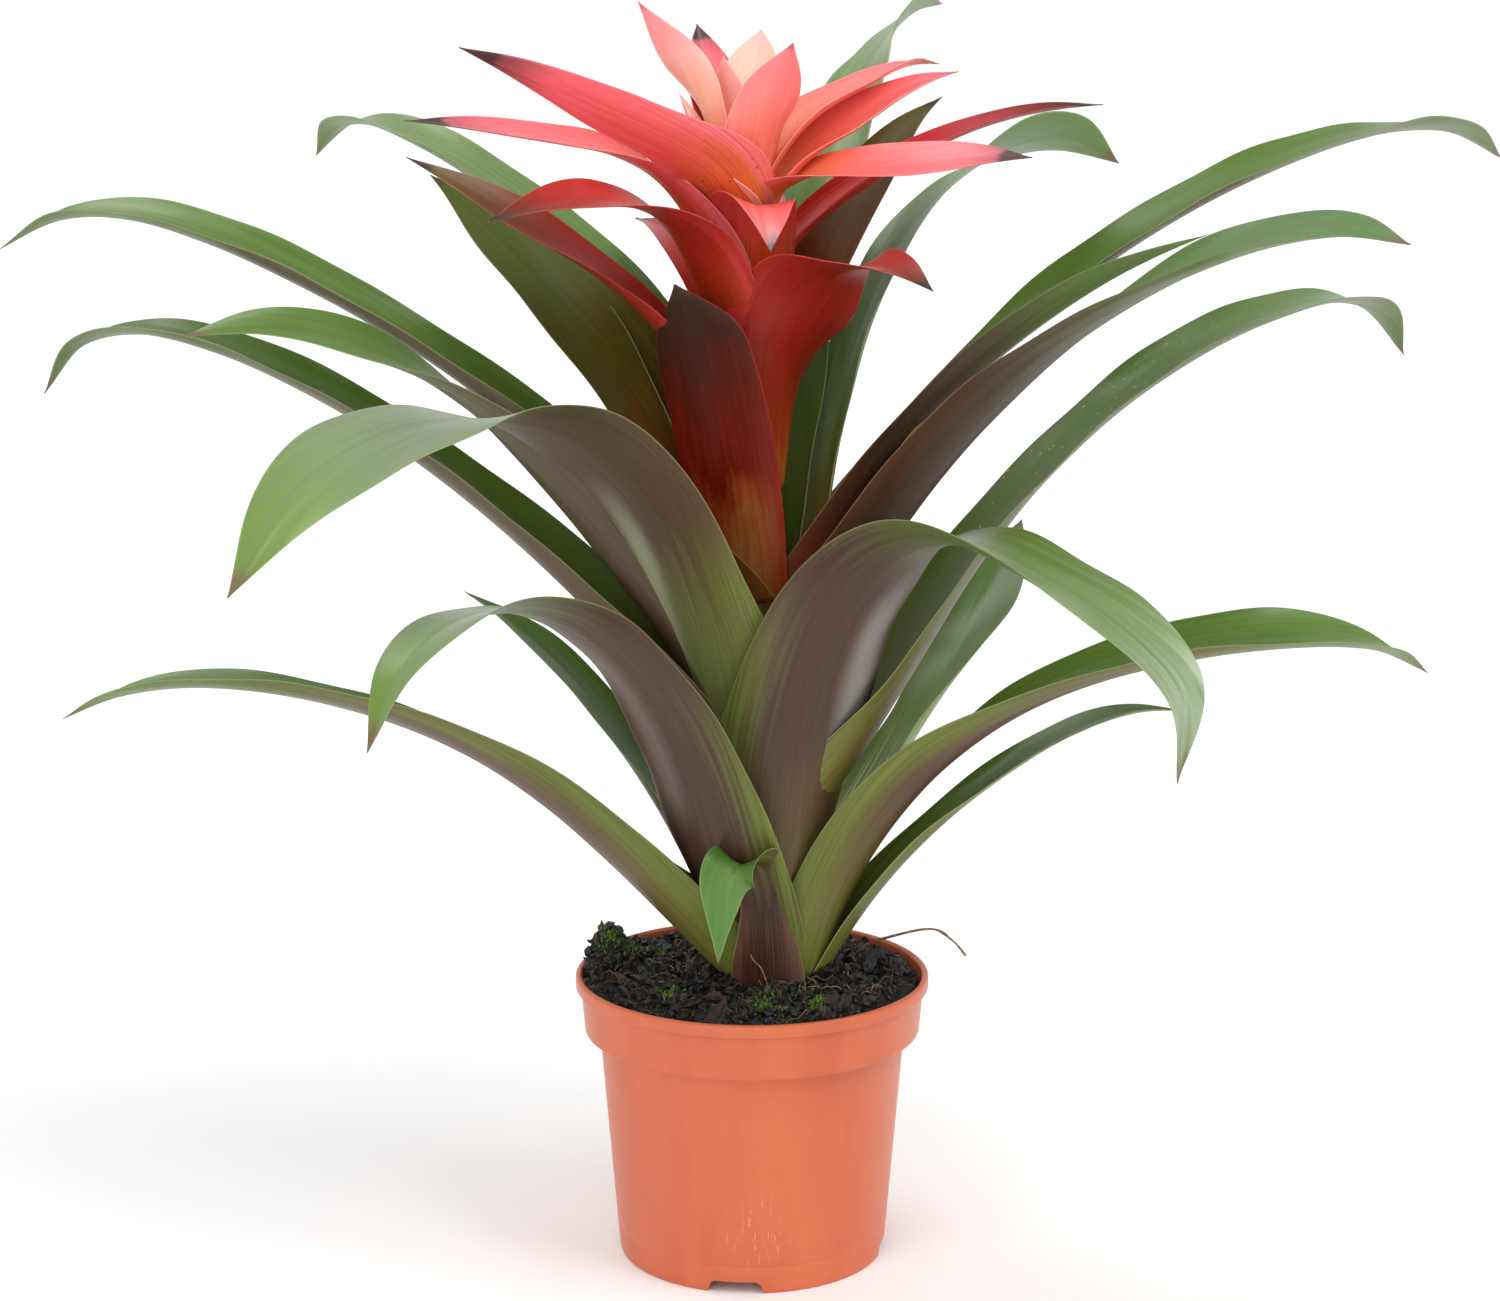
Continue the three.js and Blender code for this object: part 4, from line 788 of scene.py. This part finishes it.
def notch_block(turn):
    """Trapezoid block that cuts one notch into the foot ring, and is removed after."""
    near = FOOT_RADIUS - NOTCH_DEPTH * 1.5 / 2
    far = FOOT_RADIUS + NOTCH_DEPTH / 2
    foot = NOTCH_WIDTH_FOOT / 2
    top = NOTCH_WIDTH_TOP / 2
    outline = [(-foot, -1), (foot, -1), (top + 0.6, NOTCH_HEIGHT - 1), (top - 0.6, NOTCH_HEIGHT),
               (-top + 0.6, NOTCH_HEIGHT), (-top - 0.6, NOTCH_HEIGHT - 1)]
    cosine = math.cos(math.radians(turn))
    sine = math.sin(math.radians(turn))
    points = [(x * cosine - y * sine, x * sine + y * cosine, z) for x in (near, far) for y, z in outline]
    count = len(outline)
    faces = [list(range(count))[::-1], list(range(count, 2 * count))]
    faces += [(k, (k + 1) % count, count + (k + 1) % count, count + k) for k in range(count)]
    return add_mesh("cutter", points, faces)


def drain_rod(turn):
    """Round rod that cuts one drain hole, and is removed after."""
    place = (*polar(DRAIN_CIRCLE, math.radians(turn)), 0)
    points, faces = lathe([(0, -2), (DRAIN_RADIUS, -2), (DRAIN_RADIUS, 12), (0, 12)], 32)
    return add_mesh("cutter", np.array(points) + place, faces)


def sharpen(mesh, limit=35):
    """Marks the edges that bend by more than the limit, so that smooth shading keeps them crisp."""
    work = bmesh.new()
    work.from_mesh(mesh)
    for edge in work.edges:
        if len(edge.link_faces) == 2:
            edge.smooth = edge.calc_face_angle(0) < math.radians(limit)
    work.to_mesh(mesh)
    work.free()


def build_pot(material):
    points, faces = lathe(pot_profile(), POT_SIDES)
    piece = new_piece("pot_shell", points, faces, material)
    tools = [notch_block(NOTCH_TURN + 360 * k / NOTCH_COUNT) for k in range(NOTCH_COUNT)]
    tools += [drain_rod(360 * (k + 0.5) / DRAIN_COUNT) for k in range(DRAIN_COUNT)]
    for tool in tools:
        cut = piece.modifiers.new("cut", "BOOLEAN")
        cut.operation = "DIFFERENCE"
        cut.solver = "EXACT"
        cut.object = tool
    graph = bpy.context.evaluated_depsgraph_get()
    carved = bpy.data.meshes.new_from_object(piece.evaluated_get(graph))
    piece.modifiers.clear()
    piece.data = carved
    for tool in tools:
        bpy.data.objects.remove(tool)
    carved.polygons.foreach_set("use_smooth", [True] * len(carved.polygons))
    sharpen(carved)
    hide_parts("pot")


def pot_material():
    """Satin terracotta-coloured plastic with faint flow marks, a few scuffs and two dark flecks."""
    sh = Shader("pot_plastic")
    place = sh.place()
    flow = sh.noise(place, (60, 60, 14), 3)
    grain = sh.noise(place, (2500, 2500, 2500))
    scratch = sh.noise(place, (900, 900, 130), 4, 0.6)
    shade = sh.ramp(flow, "0.3 #c25c38, 0.55 #ca643e, 0.8 #ce6a44")
    scuffed = sh.fade(sh.distance(place, SCUFF_PLACE), 0.016, 0.004)
    shade = sh.tint(shade, "#f0c0a8", scuffed, sh.fade(scratch, 0.58, 0.7), 0.6)
    for spot, size in FLECKS:
        shade = sh.tint(shade, "#7a3a28", sh.fade(sh.distance(place, spot), size * 1.5, size * 0.6))
    rough = sh.math("MULTIPLY_ADD", flow, 0.12, 0.3)
    height = sh.math("ADD", grain, sh.times(scratch, 0.8))
    return sh.finish(Base_Color=shade, Roughness=rough, Normal=sh.bump(height, 0.03 * MM, 0.5))


def soil_level(x, y):
    """Height of the peat without its fine lumps: a mound at the stem and a clump at the left."""
    from_stem = math.hypot(x - STEM_FOOT[0], y - STEM_FOOT[1])
    from_clump = math.hypot(x - CLUMP_CENTRE[0], y - CLUMP_CENTRE[1])
    mound = (SOIL_MOUND_HEIGHT - SOIL_RIM_HEIGHT) * math.exp(-((from_stem / MOUND_SPREAD) ** 2))
    clump = CLUMP_HEIGHT * math.exp(-((from_clump / CLUMP_SPREAD) ** 2))
    return SOIL_RIM_HEIGHT + mound + clump


def soil_height(x, y, edge=1.0):
    """Height of the lumpy peat."""
    coarse = noise.noise(Vector((x * 0.07, y * 0.07, 3.1)))
    lumps = noise.noise(Vector((x * 0.19, y * 0.19, 8.4)))
    crumb = abs(noise.noise(Vector((x * 0.5, y * 0.5, 1.7))))
    fine = noise.noise(Vector((x * 1.3, y * 1.3, 5.2)))
    return soil_level(x, y) + edge * (2.2 * coarse + 2.6 * lumps + 1.8 * crumb + 0.5 * fine - 0.6)


def build_soil(material):
    """Peat that fills the pot, with a lumpy top that is calmer along the rim."""
    inside = FLOOR_HEIGHT + FLOOR_THICKNESS + GAP
    wall = POT_WALL + 2 * GAP
    ledge = BAND_FOOT_HEIGHT + POT_WALL + GAP
    rim = BAND_TOP_RADIUS - wall - 0.6
    profile = [(0, inside), (body_radius(inside) - wall, inside)]
    profile += [(BODY_TOP_RADIUS - wall, ledge - 0.6), (BAND_FOOT_RADIUS - wall, ledge)]
    profile += [(rim * k / SOIL_RINGS, SOIL_RIM_HEIGHT) for k in range(SOIL_RINGS, -1, -1)]
    points, faces = lathe(profile, SOIL_SPOKES)
    for i, (x, y, z) in enumerate(points):
        if z == SOIL_RIM_HEIGHT:
            edge = min(1, (rim - math.hypot(x, y)) / 4 + 0.3)
            points[i] = (x, y, soil_height(x, y, edge))
    piece = new_piece("peat", points, faces, material)
    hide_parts("soil")


class Bits:
    """Many small bits gathered into one piece on the peat, each with a tone of its own."""

    def __init__(self):
        self.points = []
        self.faces = []
        self.tones = []

    def add(self, points, faces, tone):
        start = len(self.points)
        self.points.extend(points)
        self.faces.extend(tuple(start + k for k in face) for face in faces)
        self.tones.extend([tone] * len(points))

    def build(self, name, material, smooth=False):
        piece = new_piece(name, self.points, self.faces, material, smooth)
        keep_values(piece.data, "tone", self.tones)


def turn_matrix(draw):
    """A random turn."""
    x, y, z = unit(draw.normal(size=3))
    angle = draw.uniform(0, 2 * math.pi)
    skew = np.array([[0, -z, y], [z, 0, -x], [-y, x, 0]])
    return np.eye(3) + math.sin(angle) * skew + (1 - math.cos(angle)) * (skew @ skew)


def round_lump(level):
    """Points and triangles of a small round lump."""
    work = bmesh.new()
    bmesh.ops.create_icosphere(work, subdivisions=level, radius=1)
    points = np.array([tuple(v.co) for v in work.verts])
    faces = [tuple(v.index for v in face.verts) for face in work.faces]
    work.free()
    return points, faces


def spot_on_soil(draw, reach):
    """A random place on the peat that keeps off the sheaths in the middle."""
    while True:
        angle = draw.uniform(0, 2 * math.pi)
        x, y = polar(reach * math.sqrt(draw.uniform(0, 1)), angle)
        if math.hypot(x - STEM_FOOT[0], y) > SHEATH_REACH:
            return x, y


def strewn(draw, size):
    """A random place for one bit on top of the peat."""
    x, y = spot_on_soil(draw, STREWN_REACH)
    return x, y, soil_height(x, y, 0.8) + draw.uniform(-0.3, 0.5) * size


def heaped(draw, size):
    """A random place for one bit on the outer face of the clump, over the rim at the left."""
    angle = math.radians(draw.uniform(*HEAP_ANGLES))
    x, y = polar(draw.uniform(*HEAP_RADII), angle)
    top = soil_level(x, y) - 0.4 * size
    return x, y, top - draw.uniform(0, 1) ** 1.5 * (top - SOIL_RIM_HEIGHT)


def build_lumps(name, count, spot, material, sizes, flatness, seed):
    """Crumbs or chips at places that spot draws, each a rough lump of its own size, turn and tone."""
    draw = np.random.default_rng(seed)
    base, base_faces = round_lump(2)
    bits = Bits()
    for _ in range(count):
        size = sizes[0] + (sizes[1] - sizes[0]) * draw.uniform(0, 1) ** 3
        stretch = np.array([1, draw.uniform(*flatness), draw.uniform(*flatness) * 0.8])
        rough = 1 + 0.28 * draw.normal(size=len(base))
        lump = base * rough[:, None] * stretch * size
        lump = lump @ turn_matrix(draw).T
        lump += np.array(spot(draw, size))
        bits.add(lump, base_faces, draw.uniform(0, 1))
    bits.build(name, material)


def tube(route, steps, radius_at, sides):
    """Points and faces of a closed rod on a smooth line through the places of a route."""
    route = along(route, np.linspace(0, 1, steps))
    runs = np.gradient(route, axis=0)
    runs /= np.linalg.norm(runs, axis=1)[:, None]
    points = []
    for i, (place, run) in enumerate(zip(route, runs)):
        aside = unit(np.cross(run, [0.13, 0.97, 0.21]))
        above = np.cross(aside, run)
        for k in range(sides):
            x, y = polar(radius_at(i / (steps - 1)), -2 * math.pi * k / sides)
            points.append(place + x * aside + y * above)
    return points, ring_skin(steps, sides)


def build_fibres(material):
    """Thin dry fibres that lie crooked on the peat."""
    draw = np.random.default_rng(41)
    bits = Bits()
    for _ in range(FIBRE_COUNT):
        x, y = spot_on_soil(draw, FIBRE_REACH)
        heading = draw.uniform(0, 2 * math.pi)
        step = draw.uniform(0.8, 2.2)
        thick = draw.uniform(0.12, 0.32)
        route = []
        for _ in range(9):
            lift = draw.uniform(0.4, 1.8)
            if math.hypot(x, y) < STREWN_REACH:
                route.append((x, y, soil_height(x, y) + lift))
            x += step * math.cos(heading)
            y += step * math.sin(heading)
            heading += draw.normal(0, 0.35)
        if len(route) >= 4:
            points, faces = tube(route, 18, lambda s: thick * (1 - 0.6 * s), 5)
            bits.add(points, faces, draw.uniform(0.3, 1))
    bits.build("peat_fibres", material, smooth=True)


def build_moss(material):
    """Tiny moss shoots, each a four-sided spike that is widest at its middle, in a few beds."""
    draw = np.random.default_rng(53)
    weights = np.array([weight for _, _, weight in MOSS_BEDS])
    bits = Bits()
    for _ in range(MOSS_COUNT):
        (cx, cy), spread, _ = MOSS_BEDS[draw.choice(len(MOSS_BEDS), p=weights / weights.sum())]
        x = cx + draw.normal(0, spread / 2)
        y = cy + draw.normal(0, spread / 2)
        if math.hypot(x, y) > MOSS_REACH:
            continue
        foot = np.array([x, y, soil_height(x, y, 0.9) - 0.2])
        lean = unit(np.array([draw.normal(0, 0.5), draw.normal(0, 0.5), 1]))
        height = draw.uniform(0.9, 2.4)
        thick = draw.uniform(0.16, 0.34)
        aside = unit(np.cross(lean, [1, 0.2, 0]))
        ahead = np.cross(lean, aside)
        points = []
        for level, share in ((0, 1), (0.55, 1.1)):
            for k in range(4):
                x, y = polar(thick * share, math.pi * k / 2 + level)
                points.append(foot + lean * height * level + x * aside + y * ahead)
        points.append(foot + lean * height)
        faces = [(3, 2, 1, 0)]
        for k in range(4):
            n = (k + 1) % 4
            faces += [(k, n, 4 + n, 4 + k), (4 + k, 4 + n, 8)]
        bits.add(points, faces, draw.uniform(0, 1))
    bits.build("moss", material)


def peat_material():
    """Dark damp peat, brown in its higher crumbs."""
    sh = Shader("peat")
    place = sh.place()
    lumps = sh.noise(place, (260, 260, 260), 5, 0.65)
    grains = sh.noise(place, (1400, 1400, 1400), 3)
    shade = sh.ramp(lumps, "0.3 #030302, 0.5 #090706, 0.68 #15100b, 0.85 #2a1e15")
    shade = sh.mottle(shade, grains, 0.5, "0.35 #404040, 0.7 #b0b0b0")
    rough = sh.math("MULTIPLY_ADD", lumps, 0.35, 0.55)
    height = sh.math("ADD", lumps, sh.times(grains, 0.4))
    return sh.finish(Base_Color=shade, Roughness=rough, Normal=sh.bump(height, 0.6 * MM, 0.9))


def tone_material(name, stops, rough, scale):
    """Strewn bits whose colour follows each bit's own tone, with a grain of their own."""
    sh = Shader(name)
    grain = sh.noise(sh.place(), (scale, scale, scale), 3)
    shade = sh.ramp(sh.sway(sh.attribute("tone"), grain, 0.5), stops)
    return sh.finish(Base_Color=shade, Roughness=rough, Normal=sh.bump(grain, 0.3 * MM, 0.7))


def grained_material(name, scale, stops, detail, rough, relief, strength):
    """One noise for both the colour and the relief of a plain natural skin."""
    sh = Shader(name)
    grain = sh.noise(sh.place(), scale, detail)
    return sh.finish(Base_Color=sh.ramp(grain, stops), Roughness=rough,
                     Normal=sh.bump(grain, relief * MM, strength))


def dress_peat():
    """Peat with its crumbs, bark bits, fibres and moss."""
    build_soil(peat_material())
    crumbs = tone_material("crumbs", "0 #040303, 0.6 #0c0a08, 0.85 #1c150f, 1 #3c2a1c", 0.5, 900)
    build_lumps("peat_crumbs", CRUMB_COUNT, strewn, crumbs, sizes=(0.45, 3), flatness=(0.5, 1), seed=23)
    build_lumps("clump_crumbs", CLUMP_CRUMB_COUNT, heaped, crumbs, sizes=(0.6, 3.2), flatness=(0.5, 1),
                seed=29)
    bark = tone_material("bark", "0 #140c08, 0.5 #2c1c12, 1 #543824", 0.7, 500)
    build_lumps("bark_bits", BARK_COUNT, strewn, bark, sizes=(2.2, 6), flatness=(0.25, 0.5), seed=31)
    build_fibres(tone_material("fibres", "0 #3a2a1c, 0.5 #5c4430, 1 #94764f", 0.8, 900))
    build_moss(tone_material("moss", "0 #26340c, 0.5 #4a661a, 1 #7a9a34", 0.7, 900))


def build_root(material):
    """The dry root, knotted and thinner towards its end, and the small wisp."""
    knots = np.random.default_rng(67).uniform(0.7, 1.25, 14)

    def girth(s):
        return ROOT_THICKNESS / 2 * (1 - 0.35 * s) * along(knots, np.array([s]))[0]

    points, faces = tube(ROOT_ROUTE, 60, girth, 10)
    piece = new_piece("dry_root_fibre", points, faces, material)
    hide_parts("dry_root")
    points, faces = tube(WISP_ROUTE, 30, lambda s: WISP_THICKNESS / 2 * (1 - 0.6 * s), 8)
    new_piece("dry_wisp", points, faces, material)


def build_blades():
    """Every leaf and bract; bracts are glossier and let light through."""
    materials = {}
    for name, look in LOOKS.items():
        bract = name.startswith("bract")
        materials[name] = blade_material(name, look, rough=0.38 if bract else 0.4,
                                         glow=0.2 if bract else 0)
    seed = 1
    for rows, kind in ((LEAVES, LEAF), (BRACTS, BRACT)):
        for row in rows:
            blade(row, kind, seed, materials[row["look"]])
            seed += 1


def dress_node(name, material):
    """Gives a solid that stays in view its finished material."""
    node = bpy.data.objects[name]
    node.data.materials.clear()
    node.data.materials.append(material)


def build_floor():
    """Plain white studio floor."""
    sh = Shader("studio_floor")
    shade = sh.ramp(sh.noise(sh.place(), (2, 2, 2)), "0.3 #fafafa, 0.7 #fcfcfc")
    reach = FLOOR_REACH
    corners = [(-reach, -reach, 0), (reach, -reach, 0), (reach, reach, 0), (-reach, reach, 0)]
    floor = add_mesh("studio_floor", corners, [(0, 1, 2, 3)])
    floor.data.materials.append(sh.finish(Base_Color=shade, Roughness=0.9))


def add_sun(name, place, strength, softness):
    """A wide soft light that shines from a place towards the middle of the part."""
    lamp = bpy.data.lights.new(name, "SUN")
    lamp.energy = strength
    lamp.angle = math.radians(softness)
    add_object(name, lamp).rotation_euler = (-Vector(place)).to_track_quat("-Z", "Y").to_euler()


def light_studio():
    """A white studio, brightest at the level of its walls, with wide soft lights from three sides."""
    world = bpy.data.worlds.new("studio")
    world.use_nodes = True
    tree = world.node_tree
    place = tree.nodes.new("ShaderNodeTexCoord")
    parts = tree.nodes.new("ShaderNodeSeparateXYZ")
    level = tree.nodes.new("ShaderNodeMapRange")
    for key, value in WALL_LIGHT.items():
        level.inputs[key].default_value = value
    tree.links.new(place.outputs["Generated"], parts.inputs["Vector"])
    tree.links.new(parts.outputs["Z"], level.inputs["Value"])
    tree.links.new(level.outputs["Result"], tree.nodes["Background"].inputs["Strength"])
    tree.nodes["Background"].inputs["Color"].default_value = (1, 1, 1, 1)
    bpy.context.scene.world = world
    add_sun("key", (1.0, -0.55, 1.5), 1.5, 35)
    add_sun("fill", (-0.5, -1.3, 0.8), 1.1, 60)
    add_sun("rim", (-0.6, 0.5, 1.2), 0.9, 35)


def add_camera():
    lens = bpy.data.cameras.new("camera")
    lens.sensor_fit = "HORIZONTAL"
    lens.sensor_width = SENSOR_WIDTH
    lens.lens = FOCAL_PIXELS * SENSOR_WIDTH / IMAGE_WIDTH
    lens.clip_end = 50
    camera = add_object("camera", lens)
    camera.location = Vector(CAMERA_PLACE) * MM
    camera.rotation_euler = (math.radians(90 - CAMERA_PITCH), 0, 0)
    bpy.context.scene.camera = camera


add_camera()
light_studio()
build_floor()
build_pot(pot_material())
dress_peat()
dry_fibre = grained_material("dry_fibre", (300, 900, 900), "0.3 #4c3424, 0.5 #7a543c, 0.75 #a88464",
                             detail=4, rough=0.8, relief=0.2, strength=0.7)
build_root(dry_fibre)
stem_skin = grained_material("stem_skin", (30, 30, 260), "0.3 #6a7a38, 0.55 #8a9a50, 0.8 #a8a868",
                             detail=3, rough=0.55, relief=0.4, strength=0.6)
dress_node("stem", stem_skin)
build_blades()

bpy.context.scene.view_settings.view_transform = "Standard"
